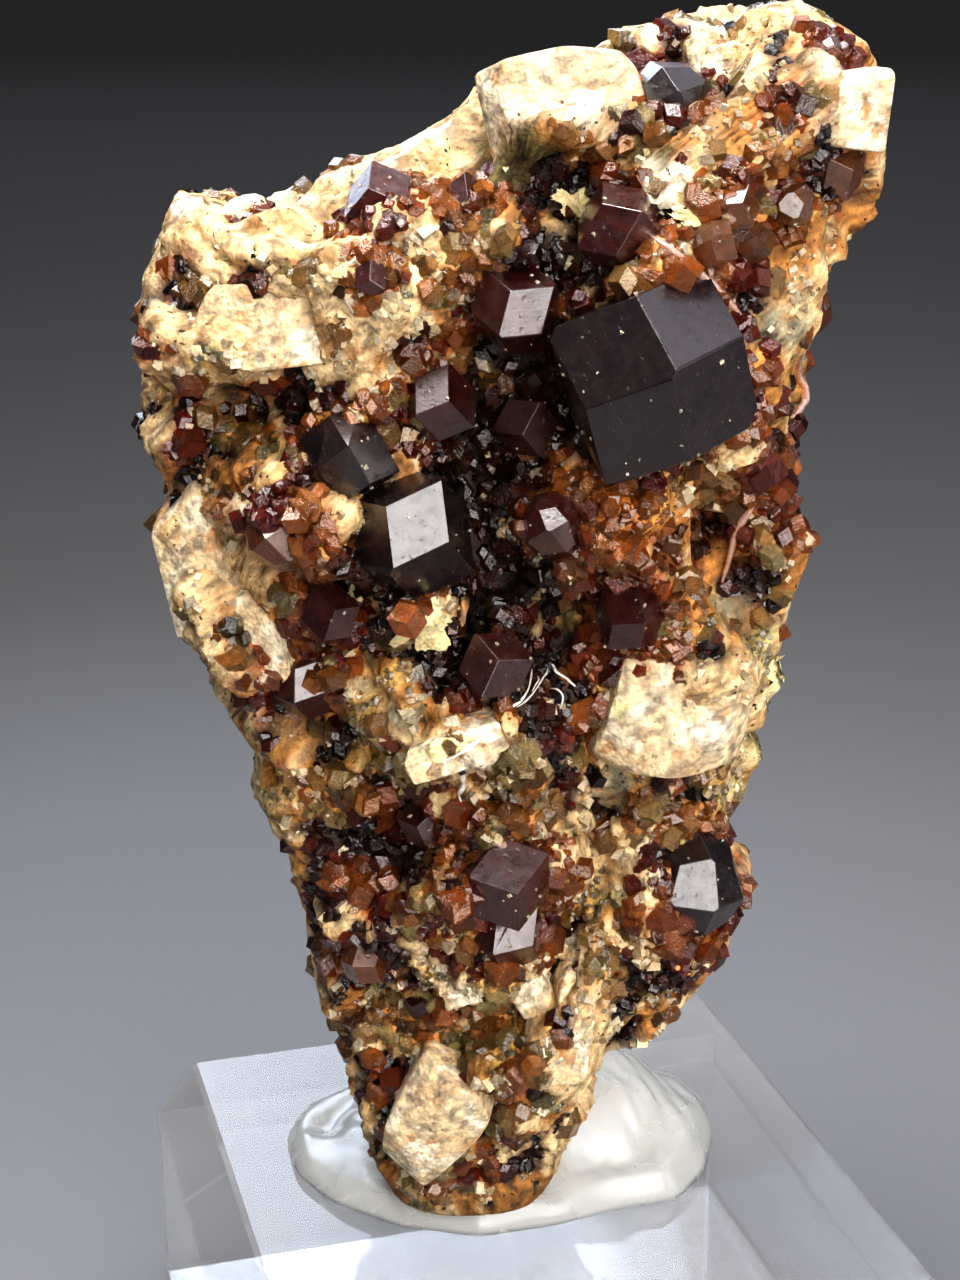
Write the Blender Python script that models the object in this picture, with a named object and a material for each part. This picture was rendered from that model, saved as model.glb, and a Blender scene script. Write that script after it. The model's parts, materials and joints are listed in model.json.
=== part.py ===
"""Garnets in matrix: dark red garnet crystals grown in a broken slab of pale matrix.

The slab stands on its narrow end in a mound of clear mounting gel, on a bevelled acrylic block.
Its show face looks along -Y. The origin is the centre of the block's underside, and +Z is up.
Lengths below are in millimetres; MM turns them into metres as each mesh is made.
"""

import math
from typing import NamedTuple

import bmesh
import bpy
import numpy as np
from mathutils import Matrix, Vector

MM = 0.001

# ---- driving dimensions, mm and degrees ----
BLOCK_SIDE = 45.0
BLOCK_HEIGHT = 19.0
BLOCK_BEVEL_IN = 2.5
BLOCK_BEVEL_DROP = 5.0
BLOCK_TURN = 16.0
EASED_EDGE = 0.25
FIT_GAP = 0.3
SLAB_MID_Y = -3.4

# The slab's outline in its own plane, as (z, x) from the foot to the top.
LEFT_EDGE = (
    (19.9, -9.2), (23.1, -10.8), (29.1, -12.6), (33.9, -13.8), (38.4, -14.3), (44.8, -15.6),
    (48.8, -17.6), (51.5, -17.1), (54.1, -19.0), (58.0, -21.6), (61.8, -21.2), (63.7, -21.7),
    (66.2, -22.3), (68.1, -21.6), (71.1, -23.5), (76.5, -23.3), (80.0, -22.6), (84.4, -20.7),
)
RIGHT_EDGE = (
    (19.9, 0.8), (24.8, 2.6), (26.9, 4.0), (29.9, 5.4), (33.8, 9.4), (37.9, 12.2), (42.1, 13.6),
    (50.2, 13.7), (56.1, 14.3), (59.9, 14.8), (61.8, 14.7), (65.5, 15.5), (71.1, 15.5),
    (76.5, 16.4), (79.7, 17.7), (81.7, 19.4), (85.1, 19.4), (90.1, 19.1), (92.8, 18.0),
    (94.9, 14.4),
)
# How far the top edge rises over the straight line between its corners, along that line.
TOP_RISE = (
    (0.0, 0.0), (0.1, -1.4), (0.35, -1.3), (0.44, -0.6), (0.5, 1.0), (0.64, 1.5), (0.83, 1.2),
    (1.0, 0.0),
)
TOP_RISE_SPAN = (0.7, 1.0)  # shares of the height over which that rise comes in
# Depth in front of and behind the slab's mid plane, from the foot (0) to the top (1).
FRONT_DEPTH = ((0.0, 6.2), (0.12, 7.1), (0.3, 9.5), (0.5, 11.5), (0.75, 12.0), (1.0, 10.5))
BACK_DEPTH = ((0.0, 4.0), (0.12, 6.0), (0.3, 9.0), (0.5, 11.0), (0.75, 11.5), (1.0, 10.0))
SECTION_POWER = 2.5
# The foot and the top are rounded over within these shares of the height, on a curve of this power.
FOOT_ROUNDING = 0.02
TOP_ROUNDING = 0.06
ROUNDING_POWER = 0.8
# Rough width and height of the slab over its depth, which only space the grid evenly.
SECTION_WIDTH_SHARE = 1.8
SLAB_RISE = 75.0
SLAB_HALF_DEPTH = 11.0
CURVE_STEPS = 2000


def curve(table, t):
    """Straight-line reading of a table of (position, value) pairs."""
    places, values = np.array(table).T
    return np.interp(t, places, values)


def smooth_step(low, high, t):
    """0 below low, 1 above high, with an S curve between."""
    s = np.clip((t - low) / (high - low), 0.0, 1.0)
    return s * s * (3.0 - 2.0 * s)


def even_steps(points, count, closed):
    """Indexes, as fractions, that divide a polyline into equal lengths."""
    lengths = np.linalg.norm(np.diff(points, axis=0), axis=1)
    travelled = np.concatenate([[0.0], np.cumsum(lengths)])
    wanted = np.linspace(0.0, travelled[-1], count, endpoint=not closed)
    return np.interp(wanted, travelled, np.linspace(0.0, 1.0, len(points)))


def section_ring(count):
    """Superellipse cos and sin parts, at equal steps round the section."""
    angle = np.linspace(0.0, 2.0 * math.pi, CURVE_STEPS + 1)

    def parts(turn):
        across, deep = np.cos(turn), np.sin(turn)
        power = 2.0 / SECTION_POWER
        return np.sign(across) * np.abs(across) ** power, np.sign(deep) * np.abs(deep) ** power

    across, deep = parts(angle)
    share = even_steps(np.column_stack([SECTION_WIDTH_SHARE * across, deep]), count, closed=True)
    return parts(share * 2.0 * math.pi)


def rise_ladder(count):
    """Height share and thickness share of each row, rounded over at the foot and the top."""
    quarter = np.linspace(0.0, math.pi / 2.0, CURVE_STEPS // 10)
    opening = np.sin(quarter) ** ROUNDING_POWER
    closing = np.cos(quarter) ** ROUNDING_POWER
    heights = np.concatenate([FOOT_ROUNDING * (1.0 - closing), 1.0 - TOP_ROUNDING * (1.0 - opening)])
    thickness = np.concatenate([opening, closing])
    profile = np.column_stack([SLAB_RISE * heights, SLAB_HALF_DEPTH * thickness])
    share = even_steps(profile, count, closed=False)
    steps = np.linspace(0.0, 1.0, len(heights))
    return np.interp(share, steps, heights), np.interp(share, steps, thickness)


def slab_surface(rows, columns):
    """Grid of points on the bare slab: rows from foot to top, columns round each section."""
    height, thickness = (part[:, None] for part in rise_ladder(rows))
    across, deep = (part[None, :] for part in section_ring(columns))
    along = (1.0 + across) / 2.0
    left_z = LEFT_EDGE[0][0] + height * (LEFT_EDGE[-1][0] - LEFT_EDGE[0][0])
    right_z = RIGHT_EDGE[0][0] + height * (RIGHT_EDGE[-1][0] - RIGHT_EDGE[0][0])
    left_x = curve(LEFT_EDGE, left_z)
    right_x = curve(RIGHT_EDGE, right_z)
    x = left_x + (right_x - left_x) * along
    z = left_z + (right_z - left_z) * along + curve(TOP_RISE, along) * smooth_step(*TOP_RISE_SPAN, height)
    depth = np.where(deep < 0.0, curve(FRONT_DEPTH, height), curve(BACK_DEPTH, height))
    y = SLAB_MID_Y + deep * depth * thickness
    return np.stack([x, y + 0.0 * x, z], axis=-1)


# ---- relief of the slab: name, x, z, half width, half height, tilt in degrees, height ----
FRONT_RELIEF = (
    ("crystal hollow", -1.2, 66.0, 6.0, 9.0, 10.0, -4.2),
    ("hollow under the largest garnet", 1.5, 71.5, 3.4, 4.5, 0.0, -1.8),
    ("hollow beside the third garnet", -4.0, 77.5, 4.0, 3.0, 30.0, -1.6),
    ("groove under the pale band", -17.0, 73.2, 8.5, 2.0, -4.0, -2.0),
    ("pale band", -14.5, 80.0, 9.5, 4.0, 8.0, 1.2),
    ("left shoulder", -19.4, 64.0, 3.4, 6.5, 14.0, 1.4),
    ("brown hollow near the top", 0.8, 85.0, 4.0, 3.0, 0.0, -1.8),
    ("right rib", 13.8, 66.0, 2.2, 6.0, 0.0, 1.6),
    ("cleft inside the right rib", 10.8, 64.0, 1.5, 4.5, 12.0, -2.6),
    ("red cluster swelling", 5.4, 67.6, 3.6, 3.0, 0.0, 1.2),
    ("waist groove", -13.0, 55.0, 5.0, 1.6, -28.0, -1.4),
    ("pale ledge", -4.6, 54.8, 4.2, 1.6, 24.0, 1.4),
    ("dark pit under the ledge", 2.4, 52.5, 2.2, 2.6, 0.0, -1.8),
    ("lower swelling", -3.0, 44.5, 4.5, 4.5, 0.0, 1.0),
    ("lower right cleft", 4.6, 44.0, 1.6, 6.0, -10.0, -1.0),
    ("foot groove", -2.2, 25.6, 3.4, 1.0, 38.0, -1.0),
    ("top left horn", -19.6, 83.6, 1.8, 1.6, 0.0, 1.0),
)
BACK_RELIEF = (
    ("broad break", -4.0, 72.0, 9.0, 10.0, 20.0, -2.2),
    ("upper boss", 9.0, 85.0, 6.0, 5.0, 0.0, 1.6),
    ("lower boss", -3.0, 48.0, 6.0, 7.0, -10.0, 1.4),
    ("side step", 9.0, 58.0, 3.5, 9.0, 0.0, -1.4),
)
# Lumps on the whole slab: wavelength and height, mm.
LUMPS = ((13.0, 0.8), (6.5, 0.4))
# Broken facets: size, mm, and slope. Their seeds start at a point in this box.
FACETS = ((9.0, 0.26), (4.6, 0.2))
FACET_BOX = ((-26.0, -19.0, 16.0), (22.0, 12.0, 98.0))
FACET_SEED = 50
# The rim takes this much of the roughness, less a little, and is cut by no more than this, mm.
RIM_SHARE, RIM_SINK, RIM_CUT = 1.6, 0.2, 1.8
RIM_FACING = (0.5, 0.95)
RELIEF_FACING = (0.1, 0.6)
RELIEF_SHARPNESS = 1.5
ROUGH_RISE = (22.0, 30.0)  # heights between which the roughness comes in, mm
NOISE_SEED = 7
WAVES = 28
WAVE_SPREAD = (0.7, 1.5)


def wave_noise(points, wavelength, seed):
    """Smooth random field of unit spread: a sum of plane waves in seeded directions and phases."""
    random = np.random.default_rng(seed)
    directions = random.normal(size=(WAVES, 3))
    directions /= np.linalg.norm(directions, axis=1, keepdims=True)
    turns = 2.0 * math.pi / (wavelength * random.uniform(*WAVE_SPREAD, WAVES))
    phases = random.uniform(0.0, 2.0 * math.pi, WAVES)
    waves = np.cos(points @ (directions * turns[:, None]).T + phases)
    return waves.sum(axis=-1) * math.sqrt(2.0 / WAVES)


def facet_noise(points, size, seed):
    """Rock facets: the nearest seeded cell at each point, and the height of its own tilted plane."""
    random = np.random.default_rng(seed)
    low, high = np.array(FACET_BOX)
    count = int(np.prod((high - low) / size))
    cells = random.uniform(low, high, (count, 3))
    slopes = random.normal(size=(count, 3))
    flat = points.reshape(-1, 3)
    nearest = np.empty(len(flat), int)
    for start in range(0, len(flat), 4096):
        part = flat[start : start + 4096]
        apart = (part**2).sum(1)[:, None] - 2.0 * part @ cells.T + (cells**2).sum(1)[None]
        nearest[start : start + 4096] = apart.argmin(axis=1)
    height = ((flat - cells[nearest]) * slopes[nearest]).sum(axis=1)
    return height.reshape(points.shape[:-1])


def grid_normals(grid):
    """Outward unit normals of a grid whose columns close on themselves."""
    up = np.gradient(grid, axis=0)
    wrapped = np.concatenate([grid[:, -1:], grid, grid[:, :1]], axis=1)
    around = (wrapped[:, 2:] - wrapped[:, :-2]) / 2.0
    normals = np.cross(around, up)
    return normals / np.maximum(np.linalg.norm(normals, axis=-1, keepdims=True), 1e-9)


def relief_height(points, features):
    """Sum of the named swellings and hollows, each a tilted bell in the slab's plane."""
    total = np.zeros(points.shape[:-1])
    for _, x, z, half_width, half_height, tilt, height in features:
        turn = math.radians(tilt)
        across = points[..., 0] - x
        up = points[..., 2] - z
        along = (across * math.cos(turn) + up * math.sin(turn)) / half_width
        over = (up * math.cos(turn) - across * math.sin(turn)) / half_height
        total += height * np.exp(-((along**2 + over**2) ** RELIEF_SHARPNESS))
    return total


def carved_slab(rows, columns):
    """The slab with its swellings, hollows and lumps, still without crystals."""
    bare = slab_surface(rows, columns)
    normals = grid_normals(bare)
    facing = -normals[..., 1]
    height = relief_height(bare, FRONT_RELIEF) * smooth_step(*RELIEF_FACING, facing)
    height += relief_height(bare, BACK_RELIEF) * smooth_step(*RELIEF_FACING, -facing)
    rough = np.zeros(height.shape)
    for step, (wavelength, size) in enumerate(LUMPS):
        rough += size * wave_noise(bare, wavelength, NOISE_SEED + step)
    for step, (size, slope) in enumerate(FACETS):
        rough += slope * facet_noise(bare, size, NOISE_SEED + FACET_SEED + step)
    # The rim is only cut into, so that it keeps its outline; the foot stays plain inside the gel.
    rim = np.clip(RIM_SHARE * rough - RIM_SINK, -RIM_CUT, 0.0)
    rough = rim + (rough - rim) * smooth_step(*RIM_FACING, np.abs(facing))
    height += rough * smooth_step(*ROUGH_RISE, bare[..., 2])
    return bare + normals * height[..., None]


class Garnet(NamedTuple):
    """A crystal on the slab: where, how big, how it is turned.

    side is -1 on the show face and 1 on the back. radius is the distance from the centre to the
    sharpest corners. proud is how far the centre stands out of the slab. facing names the crystal
    axis that points out at (azimuth, elevation) degrees from -Y, and roll turns it about that axis.
    """

    x: float
    z: float
    radius: float
    proud: float
    facing: str
    azimuth: float
    elevation: float
    roll: float
    form: str = "dodecahedron"
    side: int = -1


# One entry for each piece; crystals that have grown into each other are one piece.
GARNETS = {
    "garnet_main": (Garnet(5.7, 76.4, 6.1, 0.6, "fourfold", 7.0, 10.0, -17.0),),
    "garnet_neighbour": (Garnet(-1.5, 79.5, 2.9, 0.6, "threefold", -9.0, 32.0, 47.0),),
    "garnet_vug_upper": (Garnet(-5.8, 74.2, 2.5, 0.3, "threefold", 22.0, 16.0, 40.0),),
    "garnets_left_pair": (
        Garnet(-7.6, 67.1, 4.3, 0.4, "fourfold", -11.0, -15.0, -42.0),
        Garnet(-10.6, 71.6, 2.9, -0.2, "fourfold", 0.0, 23.0, -15.0),
    ),
    "garnet_left_round": (
        Garnet(-14.3, 67.6, 2.3, -0.1, "fourfold", -15.0, 10.0, 25.0, "trapezohedron"),
    ),
    "garnet_left_lower": (Garnet(-11.9, 62.4, 2.1, 0.2, "threefold", 10.0, 25.0, 70.0),),
    "garnet_left_foot": (Garnet(-13.4, 57.6, 2.4, 0.4, "fourfold", -17.0, -10.0, -52.0),),
    "garnets_lower_pair": (
        Garnet(-2.2, 46.0, 3.3, 0.0, "threefold", 20.0, 8.0, 5.0),
        Garnet(-2.0, 42.0, 2.9, -0.5, "fourfold", -14.0, -8.0, 30.0),
    ),
    "garnet_lower_left": (Garnet(-6.6, 48.6, 2.0, 0.2, "threefold", -20.0, 10.0, 80.0),),
    "garnet_right_foot": (Garnet(9.2, 43.6, 3.7, -1.0, "fourfold", 22.0, 0.0, 15.0, "trapezohedron"),),
    "garnets_right_edge": (
        Garnet(12.8, 68.6, 2.1, 1.2, "threefold", 15.0, 15.0, 20.0),
        Garnet(13.4, 66.6, 1.9, 0.7, "fourfold", 25.0, 5.0, 60.0),
        Garnet(12.6, 70.4, 1.6, 0.2, "fourfold", 5.0, 20.0, 35.0),
    ),
    "garnet_vug_lower": (Garnet(5.0, 61.8, 2.4, 0.4, "fourfold", 18.0, 14.0, -27.0),),
    "garnet_vug_red": (Garnet(0.7, 67.8, 2.2, -0.2, "fourfold", -18.0, 6.0, 15.0, "trapezohedron"),),
    "garnet_vug_foot": (Garnet(-2.8, 59.2, 2.6, 0.0, "threefold", 5.0, 30.0, 55.0),),
    "garnet_vug_deep": (Garnet(-0.8, 72.9, 2.2, -0.2, "threefold", -10.0, -5.0, 10.0),),
    "garnet_behind_main": (Garnet(3.8, 83.8, 2.7, -0.1, "fourfold", 24.0, 24.0, 38.0),),
    "garnets_upper_red": (
        Garnet(9.8, 84.9, 1.6, 0.1, "threefold", 12.0, 14.0, 15.0),
        Garnet(8.7, 83.2, 1.5, 0.3, "fourfold", -12.0, 20.0, 50.0),
        Garnet(10.9, 83.0, 1.4, 0.2, "fourfold", 20.0, 6.0, 20.0),
    ),
    "garnet_ring": (Garnet(13.2, 84.8, 1.4, 0.1, "threefold", 15.0, 10.0, 30.0, "trapezohedron"),),
    "garnet_top_left": (Garnet(-8.6, 84.6, 2.5, -0.1, "fourfold", 30.0, 10.0, 40.0),),
    "garnet_top_left_small": (Garnet(-9.2, 81.3, 1.2, 0.1, "threefold", 0.0, 10.0, 30.0),),
    "garnet_left_brown": (Garnet(-15.9, 82.0, 1.5, 0.2, "threefold", 8.0, 12.0, 60.0),),
    "garnet_top_mid": (Garnet(-4.2, 84.8, 1.8, 0.5, "threefold", 6.0, 22.0, 33.0),),
    "garnet_top_dome": (Garnet(6.6, 90.0, 2.5, 0.1, "fourfold", 6.0, 18.0, 30.0, "trapezohedron"),),
    "garnet_top_right": (Garnet(15.7, 86.4, 1.9, 0.3, "threefold", 28.0, 4.0, 12.0),),
    "garnet_top_corner": (Garnet(15.3, 92.4, 1.1, 0.3, "fourfold", 10.0, 25.0, 20.0, "trapezohedron"),),
    "garnet_foot_left": (Garnet(-10.4, 39.8, 1.7, 0.2, "fourfold", -24.0, 12.0, 25.0),),
    "garnet_back_large": (Garnet(-5.5, 73.0, 3.4, -0.3, "fourfold", 12.0, 10.0, 30.0, side=1),),
    "garnet_back_upper": (Garnet(8.5, 84.0, 2.5, 0.0, "threefold", -14.0, 12.0, 10.0, side=1),),
    "garnet_back_lower": (Garnet(3.5, 50.5, 2.7, -0.3, "threefold", 8.0, -6.0, 50.0, side=1),),
    "garnet_back_small": (Garnet(-12.5, 62.0, 1.9, 0.0, "fourfold", -20.0, 0.0, 15.0, side=1),),
}


# ---- crystal forms ----
DODECAHEDRON = tuple(
    sorted({n for a in (-1, 1) for b in (-1, 1) for n in ((a, b, 0), (a, 0, b), (0, a, b))})
)
TRAPEZOHEDRON = tuple(
    sorted(
        {
            n
            for a in (-1, 1)
            for b in (-1, 1)
            for c in (-1, 1)
            for n in ((2 * a, b, c), (a, 2 * b, c), (a, b, 2 * c))
        }
    )
)
# Each form's face normals, and how far its faces lie from the centre for corners at radius 1.
FORMS = {
    "dodecahedron": (DODECAHEDRON, 1.0 / math.sqrt(2.0)),
    "trapezohedron": (TRAPEZOHEDRON, 2.0 / math.sqrt(6.0)),
}
FACINGS = {"fourfold": (0.0, 0.0, 1.0), "threefold": (1.0, 1.0, 1.0)}
FACE_SPREAD = 0.07  # natural unevenness of the faces' distances
START_CUBE = 6.0  # a convex solid is cut from a cube this many times its farthest face's distance
SAME_CORNER = 0.01  # corners closer than this are one, mm


def turn_between(start, end):
    """Rotation matrix that carries one direction onto another by the shortest turn."""
    return np.array(Vector(start).rotation_difference(Vector(end)).to_matrix())


def crystal_turn(garnet):
    """Rotation from crystal axes to the slab's axes."""
    azimuth, elevation = math.radians(garnet.azimuth), math.radians(garnet.elevation)
    out = Vector(
        (
            math.sin(azimuth) * math.cos(elevation),
            garnet.side * math.cos(azimuth) * math.cos(elevation),
            math.sin(elevation),
        )
    )
    roll = np.array(Matrix.Rotation(math.radians(garnet.roll), 3, out))
    return roll @ turn_between(FACINGS[garnet.facing], out)


def crystal_planes(garnet):
    """Unit face normals in the slab's axes and the faces' uneven distances from the centre."""
    normals, nearness = FORMS[garnet.form]
    normals = np.array(normals, float)
    normals /= np.linalg.norm(normals, axis=1, keepdims=True)
    random = np.random.default_rng(int(1000 * garnet.radius + 10 * abs(garnet.x) + garnet.z))
    uneven = 1.0 + FACE_SPREAD * random.uniform(-1.0, 1.0, len(normals))
    return normals @ crystal_turn(garnet).T, garnet.radius * nearness * uneven


def convex_solid(name, centre, normals, distances):
    """Mesh of the convex solid inside the given planes, cut from a cube one face at a time."""
    form = bmesh.new()
    bmesh.ops.create_cube(form, size=START_CUBE * float(max(distances)))
    for normal, distance in zip(normals, distances):
        everything = form.verts[:] + form.edges[:] + form.faces[:]
        cut = bmesh.ops.bisect_plane(
            form,
            geom=everything,
            plane_co=Vector(normal) * float(distance),
            plane_no=Vector(normal),
            clear_outer=True,
        )
        rim = [part for part in cut["geom_cut"] if isinstance(part, bmesh.types.BMEdge)]
        bmesh.ops.contextual_create(form, geom=rim)
    bmesh.ops.remove_doubles(form, verts=form.verts[:], dist=SAME_CORNER)
    bmesh.ops.recalc_face_normals(form, faces=form.faces[:])
    bmesh.ops.translate(form, verts=form.verts[:], vec=Vector(centre))
    bmesh.ops.scale(form, verts=form.verts[:], vec=Vector((MM, MM, MM)))
    mesh = bpy.data.meshes.new(name)
    form.to_mesh(mesh)
    form.free()
    return mesh


# ---- pale blocks and small crystals, which are part of the matrix ----


class Block(NamedTuple):
    """A cleaved block of pale mineral: where, its size across, up and deep, its turn, how proud."""

    x: float
    z: float
    width: float
    height: float
    depth: float
    yaw: float
    pitch: float
    roll: float
    proud: float
    side: int = -1


BLOCKS = (
    Block(-6.3, 28.9, 5.6, 8.4, 4.0, -6.0, -10.0, -28.0, -0.9),
    Block(7.6, 55.8, 9.6, 7.0, 4.0, 4.0, 4.0, -3.0, -0.9),
    Block(0.9, 90.0, 8.6, 5.0, 4.4, -6.0, 16.0, 14.0, -1.3),
    Block(9.2, 91.8, 3.2, 2.6, 2.8, 4.0, 14.0, 4.0, -0.7),
    Block(16.2, 89.8, 3.2, 4.4, 3.2, 20.0, 4.0, -8.0, -0.9),
    Block(-0.7, 38.4, 2.6, 4.4, 2.6, 8.0, 2.0, 20.0, -0.4),
    Block(-4.6, 38.2, 2.2, 3.0, 2.4, -12.0, 4.0, 24.0, -0.5),
    Block(-19.0, 64.6, 4.2, 9.0, 4.6, -26.0, 0.0, 14.0, -1.4),
    Block(-16.2, 60.6, 3.4, 6.4, 3.4, -20.0, -4.0, 24.0, -0.9),
    Block(-5.2, 55.0, 6.2, 2.4, 3.4, 6.0, 10.0, 24.0, -0.9),
    Block(6.4, 85.9, 3.0, 2.4, 2.4, 4.0, 10.0, -16.0, -0.4),
    Block(-15.0, 78.4, 9.0, 5.0, 4.0, -10.0, 8.0, 8.0, -1.2),
    Block(1.9, 35.6, 2.2, 8.0, 3.0, 8.0, 0.0, -6.0, -0.8),
    Block(-9.0, 82.0, 8.0, 6.0, 6.0, 10.0, 6.0, 16.0, -2.0, 1),
    Block(6.0, 70.0, 9.0, 10.0, 6.0, -6.0, -4.0, -12.0, -2.2, 1),
    Block(-6.0, 55.0, 8.0, 9.0, 5.0, -10.0, 6.0, 10.0, -1.9, 1),
    Block(3.0, 38.0, 6.0, 8.0, 4.4, 10.0, 0.0, -8.0, -1.5, 1),
)
# Directions of a block's broken corners, and the share of its size that each loses.
BLOCK_CORNERS = ((1, -1, 1), (-1, -1, -1), (1, -1, -0.4), (-0.3, -1, 1))
BLOCK_CORNER_CUT = 0.2
NEIGHBOURS = 4  # grid points whose mean depth seats a crystal
SMALL_CRYSTALS = 38
SMALL_CRYSTAL_RADIUS = (0.85, 1.5)
SMALL_CRYSTAL_SPACING = 2.9
SMALL_CRYSTAL_SINK = 0.35  # share of the radius
SMALL_CRYSTAL_LOWEST = 31.0
SMALL_CRYSTAL_STEEPEST = 0.7  # most that the rock's normal may point up or down
GARNET_CLEARANCE = 1.7
BLOCK_CLEARANCE = 1.0


def block_planes(block):
    """Faces of a block: six cleavage faces and four broken corners."""
    turn = (
        Matrix.Rotation(math.radians(block.yaw), 3, "Z")
        @ Matrix.Rotation(math.radians(-block.pitch), 3, "X")
        @ Matrix.Rotation(math.radians(-block.roll), 3, "Y")
    )
    half = np.array((block.width, block.depth, block.height)) / 2.0
    axes = np.concatenate([np.eye(3), -np.eye(3)])
    corners = np.array(BLOCK_CORNERS, float)
    corners /= np.linalg.norm(corners, axis=1, keepdims=True)
    normals = np.concatenate([axes, corners * (1.0, -block.side, 1.0)])
    reach = np.abs(normals) @ half
    reach[len(axes) :] *= 1.0 - BLOCK_CORNER_CUT
    return normals @ np.array(turn).T, reach


def surface_depth(slab, x, z, side):
    """Depth of the slab's face at (x, z), from the nearest points on that side."""
    points = slab.reshape(-1, 3)
    points = points[(points[:, 1] - SLAB_MID_Y) * side > 0.0]
    near = np.argsort((points[:, 0] - x) ** 2 + (points[:, 2] - z) ** 2)[:NEIGHBOURS]
    return float(points[near, 1].mean())


def seat(slab, item):
    """Centre of a crystal or a block that stands on the slab."""
    depth = surface_depth(slab, item.x, item.z, item.side)
    return np.array((item.x, depth + item.side * item.proud, item.z))


def small_crystal_seats(slab):
    """Seeded places for the fused small crystals, clear of each other, the garnets and the blocks."""
    random = np.random.default_rng(NOISE_SEED)
    points = slab.reshape(-1, 3)
    normals = grid_normals(slab).reshape(-1, 3)
    garnets = [garnet for piece in GARNETS.values() for garnet in piece]
    taken = [(seat(slab, garnet), garnet.radius + GARNET_CLEARANCE) for garnet in garnets]
    taken += [(seat(slab, b), max(b.width, b.height) / 2.0 + BLOCK_CLEARANCE) for b in BLOCKS]
    seats = []
    for index in random.permutation(len(points)):
        point = points[index]
        clear = all(np.linalg.norm(point - centre) > reach for centre, reach in taken)
        steep = abs(normals[index, 2]) > SMALL_CRYSTAL_STEEPEST
        if point[2] < SMALL_CRYSTAL_LOWEST or steep or not clear:
            continue
        radius = random.uniform(*SMALL_CRYSTAL_RADIUS)
        turn = random.uniform(0.0, 360.0, 3)
        seats.append((point - normals[index] * radius * SMALL_CRYSTAL_SINK, radius, turn))
        taken.append((point, SMALL_CRYSTAL_SPACING))
        if len(seats) == SMALL_CRYSTALS:
            break
    return seats


# ---- Blender objects ----
COLOURS = {
    "matrix": ((0.62, 0.45, 0.27), 0.75, 0.0),
    "garnet": ((0.09, 0.012, 0.006), 0.12, 0.0),
    "gel": ((0.86, 0.86, 0.82), 0.25, 0.85),
    "acrylic": ((0.95, 0.97, 0.97), 0.03, 1.0),
}


def material(name):
    """Principled material: colour, roughness and how much light passes."""
    colour, roughness, clearness = COLOURS[name]
    made = bpy.data.materials.get(name) or bpy.data.materials.new(name)
    made.use_nodes = True
    shader = made.node_tree.nodes["Principled BSDF"]
    shader.inputs["Base Color"].default_value = (*colour, 1.0)
    shader.inputs["Roughness"].default_value = roughness
    shader.inputs["Metallic"].default_value = 0.0
    shader.inputs["Transmission Weight"].default_value = clearness
    return made


def add_object(name, mesh, finish=None, parent=None):
    """Object with one material; a helper, which has none, is hidden from the render."""
    made = bpy.data.objects.new(name, mesh)
    bpy.context.scene.collection.objects.link(made)
    made.parent = parent
    if finish:
        mesh.materials.append(material(finish))
    else:
        made.hide_render = True
        made.display_type = "WIRE"
    return made


def add_boolean(target, operation, helpers):
    """Live Boolean of one object against a collection of helpers."""
    group = bpy.data.collections.new(f"{target.name}_{operation.lower()}")
    for helper in helpers:
        group.objects.link(helper)
    modifier = target.modifiers.new(operation.title(), "BOOLEAN")
    modifier.operation = operation
    modifier.operand_type = "COLLECTION"
    modifier.collection = group
    modifier.solver = "EXACT"


def grid_mesh(name, grid):
    """Closed mesh of a grid: rows of quads round it, and each end row pressed onto its mirror."""
    columns = grid.shape[1]
    mirror = -np.arange(columns) % columns
    grid = grid.copy()
    for end in (0, -1):
        grid[end] = (grid[end] + grid[end, mirror]) / 2.0
    form = bmesh.new()
    corners = [[form.verts.new(Vector(point) * MM) for point in row] for row in grid]
    for low, high in zip(corners[:-1], corners[1:]):
        for column in range(columns):
            after = (column + 1) % columns
            form.faces.new((low[column], low[after], high[after], high[column]))
    bmesh.ops.remove_doubles(form, verts=form.verts[:], dist=0.02 * MM)
    bmesh.ops.dissolve_degenerate(form, edges=form.edges[:], dist=0.01 * MM)
    bmesh.ops.triangulate(form, faces=form.faces[:])
    bmesh.ops.recalc_face_normals(form, faces=form.faces[:])
    mesh = bpy.data.meshes.new(name)
    form.to_mesh(mesh)
    form.free()
    return mesh


SLAB_ROWS, SLAB_COLUMNS = 34, 46


def build_garnets(slab):
    """One object for each garnet piece, and the enlarged copies that hollow their sockets."""
    sockets = []
    for name, crystals in GARNETS.items():
        copies = []
        for number, crystal in enumerate(crystals):
            centre = seat(slab, crystal)
            normals, distances = crystal_planes(crystal)
            copies.append(convex_solid(name, centre, normals, distances))
            socket = convex_solid("socket", centre, normals, distances + FIT_GAP)
            sockets.append(add_object(f"socket_{name}_{number}", socket))
        piece = add_object(name, copies[0], "garnet")
        if copies[1:]:
            grown = [add_object(f"twin_{name}_{n}", mesh) for n, mesh in enumerate(copies[1:])]
            add_boolean(piece, "UNION", grown)
    return sockets


def build_matrix(slab, sockets):
    """The slab with its pale blocks and small crystals joined on and the garnets' sockets cut."""
    matrix = add_object("matrix", grid_mesh("matrix", slab), "matrix")
    grown = [
        add_object(f"block_{n}", convex_solid("block", seat(slab, block), *block_planes(block)))
        for n, block in enumerate(BLOCKS)
    ]
    for number, (centre, radius, turn) in enumerate(small_crystal_seats(slab)):
        crystal = Garnet(0.0, 0.0, radius, 0.0, "fourfold", turn[0], turn[1] - 180.0, turn[2])
        small = convex_solid("small_crystal", centre, *crystal_planes(crystal))
        grown.append(add_object(f"small_crystal_{number}", small))
    add_boolean(matrix, "UNION", grown)
    add_boolean(matrix, "DIFFERENCE", sockets)
    return matrix


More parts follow.
